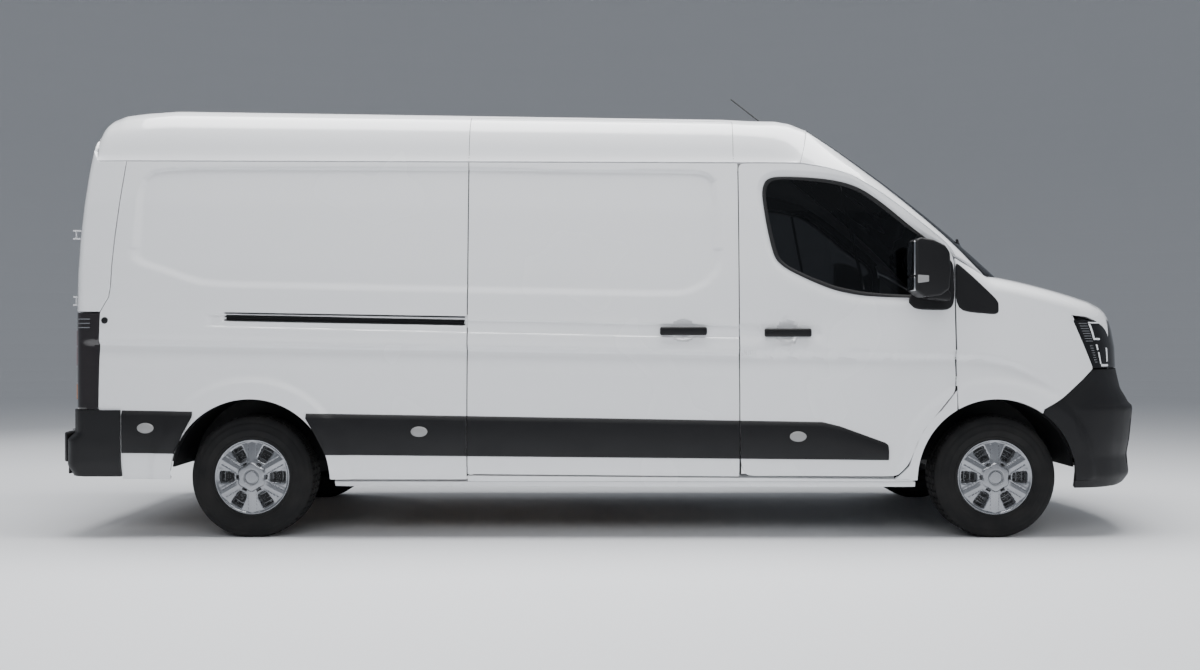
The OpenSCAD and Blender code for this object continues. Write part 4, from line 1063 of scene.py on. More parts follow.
# ---------------------------------------------------------------- cladding, rail and rear end

CLAD_ENDS = [(-2765.0, AXLE_R - 320), (AXLE_R + 320, SLIDE[0] - SEAM), (SLIDE[0], SLIDE[1]),
             (DOOR_REAR + GAP, 1556.0)]
MARKERS = (-2629.0, -1089.0, 1044.0)


def clad_top(x):
    """Height of the black band's upper edge at x."""
    top = 681.5 - SLOPE * x
    return np.minimum(top, np.interp(x, [1175, 1284, 1549, 1560], [664, 637, 541, 524])) if x > 1175 else top


def clad_low(x):
    """Height of the black band's lower edge at x."""
    return 466 - 0.00927 * (x + 833)


def clad_grid(x0, x1):
    """The band's section from x0 to x1, cut round the rear wheel arch."""
    rows = []
    for x in np.linspace(x0, x1, max(int((x1 - x0) / 16), 12)):
        low, top = clad_low(x), float(clad_top(x))
        z = np.array([low, low + 1, low + 5, low + 13, (low + top) / 2,
                      top - 30, top - 24, top - 8, top - 2, top])
        out = np.array([-6, 8, 13, 15, 16, 16, 14, 6, 1, -6])
        along = np.full_like(z, x)
        arch = np.maximum(ARCH_R ** 2 - (z - ARCH_Z) ** 2, 0) ** 0.5
        if x1 < AXLE_R:
            along = np.minimum(along, AXLE_R - arch)
        elif x0 < AXLE_R + 500:
            along = np.maximum(along, AXLE_R + arch)
        rows.append(side_points(along, z, out))
    return np.array(rows)


def build_cladding():
    """Black band along the sides with its oval markers."""
    bodies = {3: ("cab_door_right", "cab_door_left")}
    for k, (x0, x1) in enumerate(CLAD_ENDS):
        for n, (side, grid) in enumerate(both(clad_grid(x0, x1))):
            body = bodies[k][n] if k in bodies else "body"
            add(panel_bmesh(grid, depth=8, bevel=1.5), f"cladding_{side}_{k}", MAT["plastic"], body=body,
                replaces=["body_cladding"] if (k, n) == (1, 0) else ())
    for k, x in enumerate(MARKERS):
        z = (clad_low(x) + float(clad_top(x))) / 2 + 22
        for sign, side in ((1, "right"), (-1, "left")):
            bm = bmesh.new()
            lathe(bm, [(0, 8), (20, 7.5), (27, 5), (30, 0), (31, -3)], (0, 0, 0), (0, -1, 0), 32)
            for v in bm.verts:
                v.co = Vector((v.co.x * 1.6 + x * MM, (v.co.y - (float(side_half(x, z)) + 15) * MM) * sign,
                               v.co.z + z * MM))
            face_outward(bm)
            body = f"cab_door_{side}" if k == 2 else "body"
            add(bm, f"marker_{side}_{k}", MAT["marker"], body=body)


KNOB = (-2870.7, 1232.0)


def build_rail():
    """Track of the sliding door and the round knob by the tail lamp."""
    rows = []
    sinks = np.array([-19, -5, -5, -17, -17, -9, -9, -17, -17, -5, -5, -19.0])
    ends = [RAIL[0][0], RAIL[1][0]]
    for x in np.linspace(ends[0] + 5, ends[1] - 5, 80):
        top = float(np.interp(x, ends, [RAIL[0][1] - 2, RAIL[1][1] - 2]))
        low = float(np.interp(x, ends, [RAIL[3][1] + 2, RAIL[2][1] + 2]))
        z = low + (top - low) * np.array([0, 0.02, 0.12, 0.16, 0.44, 0.48, 0.56, 0.60, 0.86, 0.9, 0.98, 1])
        rows.append(side_points(x, z, sinks, False))
    add(panel_bmesh(np.array(rows), depth=2, bevel=0), "slide_rail", MAT["plastic"])
    bm = bmesh.new()
    x, z = KNOB
    lathe(bm, [(0, 7), (12, 7), (18, 4), (20, -4)], (x, -float(side_half(x, z)), z), (0, -1, 0), 32)
    add(bm, "rear_knob", MAT["plastic"])


def tail_grid(low, high, out=0.0, x0=LAMP_X, n=40):
    """The tail lamp's face between two heights, moved out by out."""
    grid = corner_grid(lambda z: x0, low, high, rows=n)
    if out:
        centre = np.array([x0 + 100, -820.0, 0])
        d = grid - centre
        d[..., 2] = 0
        grid = grid + out * d / np.linalg.norm(d, axis=-1, keepdims=True)
    return grid


def build_rear():
    """Tail lamps, bumper corners and the step between them."""
    for side, grid in both(tail_grid(LAMP_LOW + 4, LAMP_HIGH - 4)):
        add(panel_bmesh(grid, bevel=3), f"tail_lamp_{side}", MAT["smoke"],
            replaces=["tail_lamps"] if side == "right" else ())
    for k, low in enumerate((1236, 1212, 1188)):
        high = low + 8
        grid = tail_grid(low, high, 3.0, LAMP_X - 34, 6)
        grid[0] = tail_grid(low, low + 1, -4.0, LAMP_X - 34, 2)[0]
        grid[-1] = tail_grid(high, high + 1, -4.0, LAMP_X - 34, 2)[0]
        for side, part in both(grid[:, 3:]):
            bm = grid_bmesh(part)
            face_outward(bm)
            add(bm, f"tail_band_{side}_{k}", MAT["lamp_grey"])
    fields = [(1090, 1175, "red"), (975, 1080, "red"), (880, 965, "marker"), (785, 870, "amber")]
    for k, (low, high, key) in enumerate(fields):
        z = np.linspace(low, high, 10)
        rows = [rear_points(-y, z, 2.5 if j not in (0, 11) else -3)
                for j, y in enumerate(np.linspace(885, 955, 12))]
        for side, part in both(np.array(rows)):
            bm = grid_bmesh(part)
            face_outward(bm)
            add(bm, f"tail_field_{side}_{k}", MAT[key])
    rows = []
    for z in np.linspace(350, LAMP_LOW, 40):
        x = np.linspace(POST_X + 70, float(REAR(z) + rear_round(979.0)), 24)
        y = np.linspace(979, 873, 10)[1:]
        push = 42 * (1 - smooth(552, 600, z)) * smooth(330, 420, z) * smooth(0, 1, (x[0] - x) / (x[0] - x[-1]))
        flank = side_points(x, z, CORNER_OUT)
        flank[:, 0] -= push
        rows.append(np.concatenate([flank, rear_points(-y, z, CORNER_OUT + push[-1])]))
    for side, grid in both(np.array(rows)):
        add(panel_bmesh(grid, bevel=4, depth=25), f"rear_corner_{side}", MAT["plastic"],
            replaces=["rear_bumper"] if side == "right" else ())
    bm = bmesh.new()
    end = HALF - 92
    half_plan = [[REAR_X + 1, end - 120], [REAR_X + 16, end - 30], [REAR_FACE - 6, end]]
    plan = half_plan + [[x, -y] for x, y in half_plan[::-1]]
    prism(bm, plan, 424, 594, axis=2, bevel=10)
    prism(bm, [[x + 12 * (x < REAR_FACE - 10), y * 0.97] for x, y in plan], 352, 430, axis=2, bevel=8)
    add(bm, "rear_step", MAT["plastic"])
    bm = bmesh.new()
    for k in range(26):
        y = -750 + k * 60
        block(bm, (REAR_X + 8, y - 22, 598), (REAR_FACE - 16, y + 22, 602.5), 1.5, 1)
    add(bm, "step_grips", MAT["plastic"])


# ---------------------------------------------------------------- doors

def rear_door_grid():
    """The right rear door from the middle seam to its hinges, with its pressed fields."""
    rows = []
    for u in np.linspace(0, 1, 56):
        top = float(rear_top(GAP + (float(opening_half(2300)) - SEAM - GAP) * u))
        z = np.linspace(608, top, 110)
        y = GAP + (opening_half(z) - SEAM - GAP) * u
        p = rear_points(-y, z)
        upper = smooth(1340, 1356, z) * (1 - smooth(2080, 2100, z))
        upper = upper * smooth(90, 104, y) * (1 - smooth(700, 714, y))
        lower = smooth(1060, 1074, z) * (1 - smooth(1250, 1264, z)) * (1 - smooth(760, 776, y))
        p[:, 0] += 9 * upper + 5 * lower
        rows.append(p)
    return np.array(rows)


def build_rear_doors():
    """Plain rear doors with a handle and a number plate holder."""
    for side, grid in both(rear_door_grid()):
        body = f"rear_door_{side}"
        add(panel_bmesh(grid, depth=30, bevel=3), f"skin_{body}", MAT["paint"], body=body, replaces=[body])
        inner = grid[2:-2:5, 2:-2:8] + np.array([WALL - 4, 0, 0])
        add(panel_bmesh(inner, depth=-30, bevel=0), f"lining_{body}", MAT["inner"], body=body)
    bm = bmesh.new()
    x = float(REAR(1150)) + 3
    block(bm, (x - 24, -330, 1130), (x - 6, -60, 1168), 8)
    block(bm, (x - 8, -345, 1112), (x + 6, -45, 1186), 6)
    add(bm, "rear_handle", MAT["plastic"], body="rear_door_right")
    bm = bmesh.new()
    block(bm, (x - 12, 170, 880), (x - 4, 690, 990), 4)
    block(bm, (x - 30, 200, 992), (x - 4, 660, 1014), 8)
    add(bm, "plate_holder", MAT["plastic"], body="rear_door_left")


# Places on the cab door's edge and window, as [along from the front axle, height]
AT_REAR, AT_FRONT = 0, 1
DOOR_RING = np.array([
    [[0, 1560], [-1256, 1645]], [[0, 1150], [-1232, 1577]], [[0, 355], [-1178, 1530]], [[-1150, 355], [-1050, 1467]],
    [[-850, 354], [-903, 1408]], [[-567, 353], [-757, 1380]], [[-503, 420], [-612, 1370]],
    [[-420, 611], [-464, 1366]], [[-321, 730], [-310, 1366]], [[1, 840], [-288, 1378]], [[1, 1250], [-278, 1420]],
    [[1, 1580], [-278, 1590]], [[-265, 1660], [-300, 1640]], [[-367, 1750], [-464, 1754]],
    [[-514, 1870], [-612, 1882]], [[-659, 1978], [-737, 1975]], [[-805, 2066], [-834, 2015]],
    [[-950, 2109], [-953, 2038]], [[-1101, 2131], [-1101, 2050]], [[-1240, 2133], [-1238, 2053]],
    [[0, 2133], [-1291, 2030]], [[0, 1940], [-1312, 1960]], [[0, 1780], [-1285, 1780]]], float)


def door_loops():
    """Fine outlines of the cab door's outer edge and its window, as [along, height]."""
    outer, window = DOOR_RING[:, 0].copy(), DOOR_RING[:, 1].copy()
    flag = outer[:, 0].copy()
    outer[:, 0] += AXLE_F
    outer[flag == AT_REAR, 0] = DOOR_REAR + GAP
    outer[flag == AT_FRONT, 0] = DOOR_FRONT - GAP
    window[:, 0] += AXLE_F
    n = 22

    def finer(loop, round_off):
        out = []
        for i in range(len(loop)):
            a, b = loop[i], loop[(i + 1) % len(loop)]
            out += [a + (b - a) * k / n for k in range(n)]
        out = np.array(out)
        for _ in range(round_off):
            out = (np.roll(out, 1, 0) + 2 * out + np.roll(out, -1, 0)) / 4
        return out
    return finer(outer, 14), finer(window, 90)


def cab_door_grid(rows=46):
    """The door's skin as rings from its outer edge to its window."""
    outer, window = door_loops()
    s = np.linspace(0, 1, rows)
    s = s + 0.06 * np.sin(2 * np.pi * s) / (2 * np.pi)
    grid = []
    for a, b in zip(outer, window):
        p = a + s[:, None] * (b - a)
        near = np.linalg.norm(p - b, axis=1)
        sink = 12 * (1 - smooth(6, 46, near))
        grid.append(side_points(p[:, 0], p[:, 1], -sink))
    return np.array(grid)


def glass_grid(sink=14.0, n=60, m=24):
    """The door window, as rows from its lower to its upper edge."""
    _, window = door_loops()
    x0, x1 = window[:, 0].min() + 3, window[:, 0].max() - 3
    low, high = [], []
    xs = x0 + (x1 - x0) * (1 - np.cos(np.linspace(0, np.pi, n))) / 2
    for x in xs:
        cut = []
        for a, b in zip(window, np.roll(window, -1, 0)):
            if (a[0] - x) * (b[0] - x) <= 0 and a[0] != b[0]:
                cut.append(a[1] + (x - a[0]) / (b[0] - a[0]) * (b[1] - a[1]))
        low.append(min(cut))
        high.append(max(cut))
    return np.array([side_points(x, np.linspace(a, b, m), -sink, False) for x, a, b in zip(xs, low, high)])


def build_cab_doors():
    """Cab doors with window seal, glass, inner trim and mirror."""
    door, glass = cab_door_grid(), glass_grid()
    _, window = door_loops()
    centre = window.mean(axis=0)
    seal = []
    for q in window[::3]:
        d = (centre - q) / np.linalg.norm(centre - q)
        seal.append([side_points(*(q + d * k), -s, False) for k, s in
                     ((-9, 16), (-7, 6), (0, 4), (9, 6), (15, 9), (17, 15))])
    for sign, side in ((1, "right"), (-1, "left")):
        flip = np.array([1, sign, 1])
        body = f"cab_door_{side}"
        add(panel_bmesh(door * flip, ring=True, depth=30, centre=(1.3, 0, 1.2)), f"skin_{body}", MAT["paint"],
            body=body, replaces=[body])
        bm = grid_bmesh(np.array(seal) * flip, ring=True)
        face_outward(bm, (1.3, 0, 1.2))
        add(bm, f"window_seal_{side}", MAT["seal"], body=body)
        add(panel_bmesh(glass * flip, depth=4, bevel=0), f"window_{side}", MAT["glass"], body=body,
            replaces=[f"door_glass_{side}"])
        trim = door[::6, 1:-1:4] + np.array([0, WALL - 8, 0])
        bm = grid_bmesh(trim * flip, ring=True)
        face_outward(bm, (1.3, 0, 1.2))
        bmesh.ops.reverse_faces(bm, faces=bm.faces)
        add(bm, f"door_trim_{side}", MAT["cab"], body=body)
        bm = bmesh.new()
        rod(bm, side_points(1306, 2000, -22, False) * flip, side_points(1429, 1408, -22, False) * flip, 9)
        add(bm, f"window_bar_{side}", MAT["seal"], body=body)
        build_mirror(sign, side)


def build_mirror(sign, side):
    """Mirror head on its arm, with the dark corner panel behind it."""
    body = f"cab_door_{side}"
    flip = np.array([1, sign, 1])
    head = [[1652, 1392], [1700, 1356], [1790, 1368], [1834, 1402], [1842, 1500], [1838, 1600], [1812, 1640],
            [1745, 1672], [1676, 1684], [1654, 1670]]
    bm = bmesh.new()
    ends = sorted([-(HALF + 236.0) * sign, -(HALF + 50.0) * sign])
    prism(bm, head, ends[0], ends[1], bevel=20, segments=4)
    add(bm, f"mirror_head_{side}", MAT["plastic"], body=body, replaces=[f"mirror_{side}"])
    bm = bmesh.new()
    glass = sorted([-(HALF + 222.0) * sign, -(HALF + 64.0) * sign])
    block(bm, (1644, glass[0], 1478), (1654, glass[1], 1664), 4)
    block(bm, (1644, glass[0], 1392), (1654, glass[1], 1468), 4)
    add(bm, f"mirror_glass_{side}", MAT["chrome"], body=body)
    bm = bmesh.new()
    lens = sorted([-(HALF + 239.0) * sign, -(HALF + 200.0) * sign])
    prism(bm, [[1660, 1432], [1722, 1440], [1722, 1476], [1660, 1480]], lens[0], lens[1], bevel=6, segments=2)
    add(bm, f"mirror_lamp_{side}", MAT["marker"], body=body)
    bm = bmesh.new()
    arm = sorted([-(HALF + 90.0) * sign, -(HALF - 52.0) * sign])
    prism(bm, [[1752, 1352], [1880, 1340], [1888, 1372], [1850, 1436], [1790, 1436]], arm[0], arm[1], bevel=10)
    prism(bm, [[1800, 1480], [1880, 1470], [1880, 1530], [1800, 1530]], arm[0], arm[1], bevel=10)
    add(bm, f"mirror_arm_{side}", MAT["plastic"], body=body)
    door_part = [[1672, 1338], [1706, 1300], [1740, 1292], [DOOR_FRONT - GAP, 1288], [DOOR_FRONT - GAP, 1560],
                 [1890, 1600], [1800, 1560], [1700, 1400]]
    wing_part = [[DOOR_FRONT + GAP, 1286], [2160, 1264], [2186, 1276], [2188, 1330], [2168, 1362], [2050, 1478],
                 [1968, 1552], [DOOR_FRONT + GAP, 1560]]
    for k, (outline, rides) in enumerate(((door_part, body), (wing_part, "body"))):
        grid = fan_grid(outline)
        bm = grid_bmesh(grid * flip)
        face_outward(bm)
        add(bm, f"corner_panel_{side}_{k}", MAT["plastic"], body=rides)


def fan_grid(outline, out=4.0, n=24, m=30):
    """A patch on the side inside an outline, edges tucked in."""
    p = np.array(outline, float)
    loop = []
    for a, b in zip(p, np.roll(p, -1, 0)):
        loop += [a + (b - a) * k / 6 for k in range(6)]
    loop = np.array(loop)
    for _ in range(3):
        loop = (np.roll(loop, 1, 0) + 2 * loop + np.roll(loop, -1, 0)) / 4
    x0, x1 = loop[:, 0].min() + 1, loop[:, 0].max() - 1
    rows = []
    for x in x0 + (x1 - x0) * (1 - np.cos(np.linspace(0, np.pi, n))) / 2:
        cut = [a[1] + (x - a[0]) / (b[0] - a[0]) * (b[1] - a[1])
               for a, b in zip(loop, np.roll(loop, -1, 0)) if (a[0] - x) * (b[0] - x) <= 0 and a[0] != b[0]]
        z = min(cut) + (max(cut) - min(cut)) * (1 - np.cos(np.linspace(0, np.pi, m))) / 2
        edge = np.minimum(z - min(cut), max(cut) - z)
        lift = out * smooth(0, 9, np.minimum(edge, min(x - x0, x1 - x) + 1)) - 3 * (edge < 0.5)
        w = side_half(np.full_like(z, x), z, False) + lift
        if x > DOOR_FRONT:
            top_y, top_z = (float(v) for v in wing_top(x))
            shoulder = top_z - SHOULDER
            rise = np.clip((z - shoulder) / SHOULDER, 0, 0.999)
            reach = float(side_half(x, shoulder)) - top_y
            w = np.where(z > shoulder, top_y + reach * np.sqrt(1 - rise ** 2) + lift, w)
        rows.append(np.stack([np.full_like(z, x), -w, z], -1))
    return np.array(rows)


def build_handles():
    """Bar handles over their round cups on the cab and sliding doors."""
    places = [(HANDLES[0], "body", 1), (HANDLES[1], "cab_door_right", 1), (HANDLES[1], "cab_door_left", -1)]
    for k, ((x, z), body, sign) in enumerate(places):
        y = float(side_half(x - 90, z, False)) + 22
        bm = bmesh.new()
        ys = sorted([-(y - 20) * sign, -(y + 4) * sign])
        block(bm, (x - 133, ys[0], z - 24), (x + 133, ys[1], z + 23), 11, 4)
        foot = sorted([-(y - 44) * sign, -(y - 12) * sign])
        for s in (-1, 1):
            block(bm, (x + s * 112 - 14, foot[0], z - 14), (x + s * 112 + 14, foot[1], z + 14), 5)
        add(bm, f"handle_{k}", MAT["plastic"], body=body)


# ---------------------------------------------------------------- wheels

def tyre_bmesh(x, y, look):
    """A tyre with a rounded shoulder, grooves round the tread and blocks across it."""
    h = TYRE_W / 2
    rim = 214.0
    side = [(rim, h - 18), (rim + 4, h - 9), (rim + 14, h - 6), (rim + 18, h - 8), (rim + 40, h - 1.5), (rim + 52, h),
            (rim + 56, h - 2), (rim + 75, h - 1), (TYRE_R - 44, h - 4), (TYRE_R - 41, h - 6.5), (TYRE_R - 30, h - 8),
            (TYRE_R - 17, h - 14), (TYRE_R - 8, h - 22), (TYRE_R - 3, h - 31)]
    tread = [(TYRE_R - 1.6, h - 40)]
    for g in (h - 52, 10.0):
        tread += [(TYRE_R - 0.6, g + 5), (TYRE_R - 8, g + 3.5), (TYRE_R - 8, g - 3.5), (TYRE_R - 0.4, g - 5)]
    half = side + tread
    profile = half + [(r, -w) for r, w in half[::-1]]
    bm = bmesh.new()
    lathe(bm, profile, (x, y, HUB_Z), (0, 1, 0), look.tyre_steps)
    sipes = []
    for f in bm.faces:
        c = f.calc_center_median() - Vector((x, y, HUB_Z)) * MM
        k = int((math.atan2(c.z, c.x) / math.tau % 1) * look.tyre_steps)
        if math.hypot(c.x, c.z) > (TYRE_R - 9) * MM and k % 3 == 0 and abs(c.y) > 18 * MM:
            sipes.append(f)
    bmesh.ops.inset_individual(bm, faces=sipes, thickness=1.2 * MM, depth=-5 * MM)
    return bm


HOLE_ROUND = 14


def cover_bmesh(x, y, out, look):
    """A six-spoked wheel cover facing out, as a fine polar grid pushed in at its openings, whose floors carry painted
    shade.
    """
    radii = np.concatenate([np.linspace(2, 36, 8), np.linspace(37, 41, 4), np.linspace(45, 112, 22),
                            np.linspace(114, 198, 42), np.linspace(200, 219, 8)])
    turns = np.linspace(0, math.tau, look.cover_steps + 1)[:-1]
    r, a = np.meshgrid(radii, turns, indexing="xy")
    sector = math.tau / look.spokes
    local = (a + sector / 2) % sector - sector / 2
    out_along, across = r * np.cos(local), r * np.sin(local)
    length, width = look.opening_length * 1000, look.opening_width * 1000
    mid = look.opening_place * 1000
    qx = np.abs(out_along - mid) - (length / 2 - HOLE_ROUND)
    qy = np.abs(across) - (width / 2 - HOLE_ROUND + (out_along - mid) * 0.10)
    hole = np.hypot(np.maximum(qx, 0), np.maximum(qy, 0)) + np.minimum(np.maximum(qx, qy), 0) - HOLE_ROUND
    slot = np.hypot(np.maximum(np.abs(out_along - 82) - 3, 0), np.maximum(np.abs(across) - 9, 0)) - 4
    spoke = sector / 2 - np.abs(local)
    dome = 30 - 16 * (r / 219) ** 2.2
    facet = 8.0 * np.clip(np.abs(spoke) * r / 40, 0, 1) * smooth(75, 110, r) * (1 - smooth(196, 206, r))
    groove = 3.5 * np.exp(-((np.abs(spoke) * r - 24) / 2.6) ** 2)
    groove = groove * smooth(80, 100, r) * (1 - smooth(180, 200, r))
    boss = 9 * (1 - smooth(70, 80, r + 5 * np.cos(look.spokes * a)))
    boss = boss - 6 * (1 - smooth(40, 46, r)) + 5 * (1 - smooth(32, 38, r))
    depth = dome - facet - groove + boss
    depth = depth - 34 * (1 - smooth(-3.0, 0.5, hole)) - 15 * (1 - smooth(-2.0, 1.0, slot))
    depth = depth - 4 * (1 - smooth(-1, 8, hole)) + 3 * smooth(203, 208, r) - 12 * smooth(211, 219, r)
    # Painted shade and dark steel: the floors of the openings and slots are marked dark, standing for the shade and
    # the dark rim seen through real openings.
    dark = np.maximum(1 - smooth(-5.0, -1.5, hole), 1 - smooth(-3, -1, slot))
    # Painted shade: a partly dark ring in the groove round the boss.
    ring = np.maximum(0, 1 - np.abs(r - 41) / 2.5)
    dark = np.maximum(dark, ring * 0.6)
    a = a + math.pi / 2 + sector / 2
    grid = np.stack([x + r * np.cos(a), y + out * (84 + depth), HUB_Z + r * np.sin(a)], -1)
    bm = grid_bmesh(grid, ring=True)
    # The "dark" layer carries the painted shade to the wheel material.
    shade = bm.verts.layers.float.new("dark")
    flat = grid.reshape(-1, 3) * MM
    lookup = {tuple(np.round(p, 6)): d for p, d in zip(flat, dark.reshape(-1))}
    for v in bm.verts:
        v[shade] = float(lookup.get(tuple(np.round(np.array(v.co), 6)), 0.0))
    hub = [v for v in bm.verts if math.hypot(v.co.x - x * MM, v.co.z - HUB_Z * MM) < 0.0025]
    bmesh.ops.contextual_create(bm, geom=hub)
    face_outward(bm, (x * MM, y * MM - out * 0.5, HUB_Z * MM))
    return bm


def rim_bmesh(x, y, out):
    """Steel rim behind the cover, open towards the inside, with the brake disc."""
    h = TYRE_W / 2
    bm = bmesh.new()
    profile = [(216, h - 8), (219, h - 10), (217, h - 16), (200, h - 20), (195, h - 46), (190, 40), (188, -h + 40),
               (198, -h + 20), (216, -h + 12), (219, -h + 10), (216, -h + 8), (208, -h + 12), (186, -h + 40),
               (184, 20), (170, 32), (100, 36), (95, 52), (32, 52), (32, 8), (95, 8), (165, -28), (165, -52),
               (60, -52), (60, -60), (31, -60)]
    lathe(bm, [(r, w * out) for r, w in profile], (x, y, HUB_Z), (0, 1, 0), 72)
    return bm


def build_wheels(look):
    """Tyres, wheel covers and rims on their own bodies."""
    for end, x in (("front", AXLE_F), ("rear", AXLE_R)):
        for side, sign in (("right", -1), ("left", 1)):
            y = mm(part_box(f"tyre_{end}_{side}")).mean(axis=0)[1]
            body, tag = f"wheel_{end}_{side}", f"{end}_{side}"
            add(tyre_bmesh(x, y, look), f"rubber_{tag}", MAT["rubber"], body, [f"tyre_{tag}"], 30)
            add(cover_bmesh(x, y, sign, look), f"cover_{tag}", MAT["wheel"], body)
            add(rim_bmesh(x, y, sign), f"rim_steel_{tag}", MAT["chassis"], body, [f"rim_{tag}"],
                30)


# ---------------------------------------------------------------- cab

def cushion(low, high, lean=0.0, pivot=None, puff=14.0):
    """A crowned cushion between two corners with two sewn channels, leaned back about pivot."""
    low, high = np.array(low, float), np.array(high, float)
    bm = bmesh.new()
    bmesh.ops.create_cube(bm, size=1)
    bmesh.ops.bevel(bm, geom=bm.edges[:], offset=0.07, segments=3, profile=0.5, affect="EDGES", material=-1)
    bmesh.ops.subdivide_edges(bm, edges=bm.edges[:], cuts=3, use_grid_fill=True)
    size = high - low
    thin = int(np.argmin(size))
    for v in bm.verts:
        c = np.array(v.co)
        others = [a for a in range(3) if a != thin]
        crown = np.prod([1 - (2 * c[a]) ** 4 for a in others])
        dents = sum(math.exp(-((c[others[0]] - s) / 0.03) ** 2) for s in (-0.22, 0.22))
        p = (low + high) / 2 + c * size
        p[thin] += np.sign(c[thin]) * (puff * (crown - 1) - 5 * dents * crown)
        if lean:
            q, t = p - pivot, math.radians(lean)
            p = pivot + np.array([q[0] * math.cos(t) + q[2] * math.sin(t), q[1],
                                  q[2] * math.cos(t) - q[0] * math.sin(t)])
        v.co = Vector(p * MM)
    bmesh.ops.smooth_vert(bm, verts=bm.verts, factor=0.5, use_axis_x=True, use_axis_y=True, use_axis_z=True)
    bmesh.ops.recalc_face_normals(bm, faces=bm.faces)
    return bm


BACK_LEAN = -12


def build_cab():
    """Seats with their bases, the dashboard's top and screen, and the steering wheel."""
    x0 = DOOR_REAR + 250
    pivot = np.array([x0, 0, 1010.0])
    for k, (y, w) in enumerate(((HALF - 870, 520), (-HALF + 170, 455), (-HALF + 635, 455))):
        middle = y + w / 2
        seat = cushion((x0, y, 902), (x0 + 520, y + w, 1012))
        back = cushion((x0 - 60, y, 1012), (x0 + 60, y + w, 1560), BACK_LEAN, pivot)
        head = cushion((x0 - 45, middle - 130, 1575), (x0 + 45, middle + 130, 1625), BACK_LEAN, pivot, 6)
        for part, bm in (("cushion", seat), ("backrest", back), ("headrest", head)):
            obj = add(bm, f"seat_{part}_{k}", MAT["fabric"],
                      replaces=["cab_seats"] if (k, part) == (0, "cushion") else (), angle=60)
    bm = bmesh.new()
    for y, w in ((HALF - 870, 520), (-HALF + 170, 910)):
        block(bm, (x0 + 40, y + 20, 551), (x0 + 480, y + w - 20, 900), 20)
    add(bm, "seat_bases", MAT["cab"])
    bm = bmesh.new()
    block(bm, (AXLE_F - 475, -HALF + 175, 1150), (AXLE_F - 195, HALF - 175, 1236), 30)
    block(bm, (AXLE_F - 485, HALF - 830, 1225), (AXLE_F - 300, HALF - 350, 1290), 28)
    block(bm, (AXLE_F - 490, -150, 1130), (AXLE_F - 440, 150, 1320), 12)
    add(bm, "dash_top", MAT["cab"])
    bm = bmesh.new()
    block(bm, (AXLE_F - 494, -130, 1170), (AXLE_F - 488, 130, 1305), 2)
    add(bm, "dash_screen", MAT["gloss_black"])
    centre = np.array([AXLE_F - 470, HALF - 590, 1150.0])
    tilt = Matrix.Rotation(math.radians(-65), 4, "Y")
    axis = tilt @ Vector((0, 0, 1))
    hub = centre + np.array(axis) * 130
    bm = bmesh.new()
    ring = [(180 + 15 * math.cos(t), 15 * math.sin(t)) for t in np.linspace(0, math.tau, 17)]
    lathe(bm, ring, hub, tuple(axis), 72)
    lathe(bm, [(0, 20), (50, 18), (66, 10), (70, -2), (0, -6)], hub, tuple(axis), 48)
    side = Vector((0, 1, 0))
    down = axis.cross(side)
    for d, spread in ((side, 10), (-side, 10), (down, 12)):
        rod(bm, hub + np.array(d) * 50, hub + np.array(d) * 172, spread, 12)
    add(bm, "wheel_steering", MAT["cab"], "steering_wheel", ["steering_wheel"])


# ---------------------------------------------------------------- stage

def build_stage(look):
    """Floor that curves up far away, even light and softboxes."""
    scene = bpy.context.scene
    world = bpy.data.worlds.new("Studio")
    world.use_nodes = True
    world.node_tree.nodes["Background"].inputs[0].default_value = (0.62, 0.66, 0.72, 1)
    world.node_tree.nodes["Background"].inputs[1].default_value = look.world_light
    scene.world = world
    bm = bmesh.new()
    bend = [(17 + 14 * math.sin(t), 14 * (1 - math.cos(t))) for t in np.linspace(0, math.pi / 2.2, 24)]
    profile = [(0.0, 0.0), (4000.0, 0.0), (10000.0, 0.0)] + [(r * 1000, h * 1000) for r, h in bend]
    lathe(bm, profile, (0, 0, 0), (0, 0, 1), 96)
    mesh = bpy.data.meshes.new("floor")
    bm.to_mesh(mesh)
    bm.free()
    mesh.materials.append(material("Pale floor", {"Base Color": tuple(look.floor_colour), "Roughness": 0.7}))
    floor = bpy.data.objects.new("floor", mesh)
    scene.collection.objects.link(floor)
    lamps = [("top", (0, -0.5, 6.5), (0, 0, 0), 9.0, 4.0, look.top_light),
             ("camera_side", (-1.0, -7.5, 4.6), (60, 0, 0), 8.0, 2.4, look.side_light),
             ("front", (8.5, -3.0, 3.2), (70, 0, 75), 3.0, 2.5, look.front_light),
             ("back", (-7.5, 4.0, 4.5), (65, 0, 225), 4.0, 3.0, look.front_light)]
    for name, place, turn, wide, deep, power in lamps:
        light = bpy.data.lights.new(name, "AREA")
        light.shape, light.size, light.size_y, light.energy = "RECTANGLE", wide, deep, power
        obj = bpy.data.objects.new(name, light)
        obj.location, obj.rotation_euler = place, [math.radians(t) for t in turn]
        obj.visible_glossy = name == "top"
        scene.collection.objects.link(obj)


def build_camera(look):
    """The camera, level beside the van."""
    camera = bpy.data.cameras.new("camera")
    camera.lens, camera.sensor_width = look.lens, 36.0
    obj = bpy.data.objects.new("camera", camera)
    obj.location = tuple(look.camera_place)
    obj.rotation_euler = (math.pi / 2, 0, 0)
    bpy.context.scene.collection.objects.link(obj)
    bpy.context.scene.camera = obj


# ---------------------------------------------------------------- the add-on

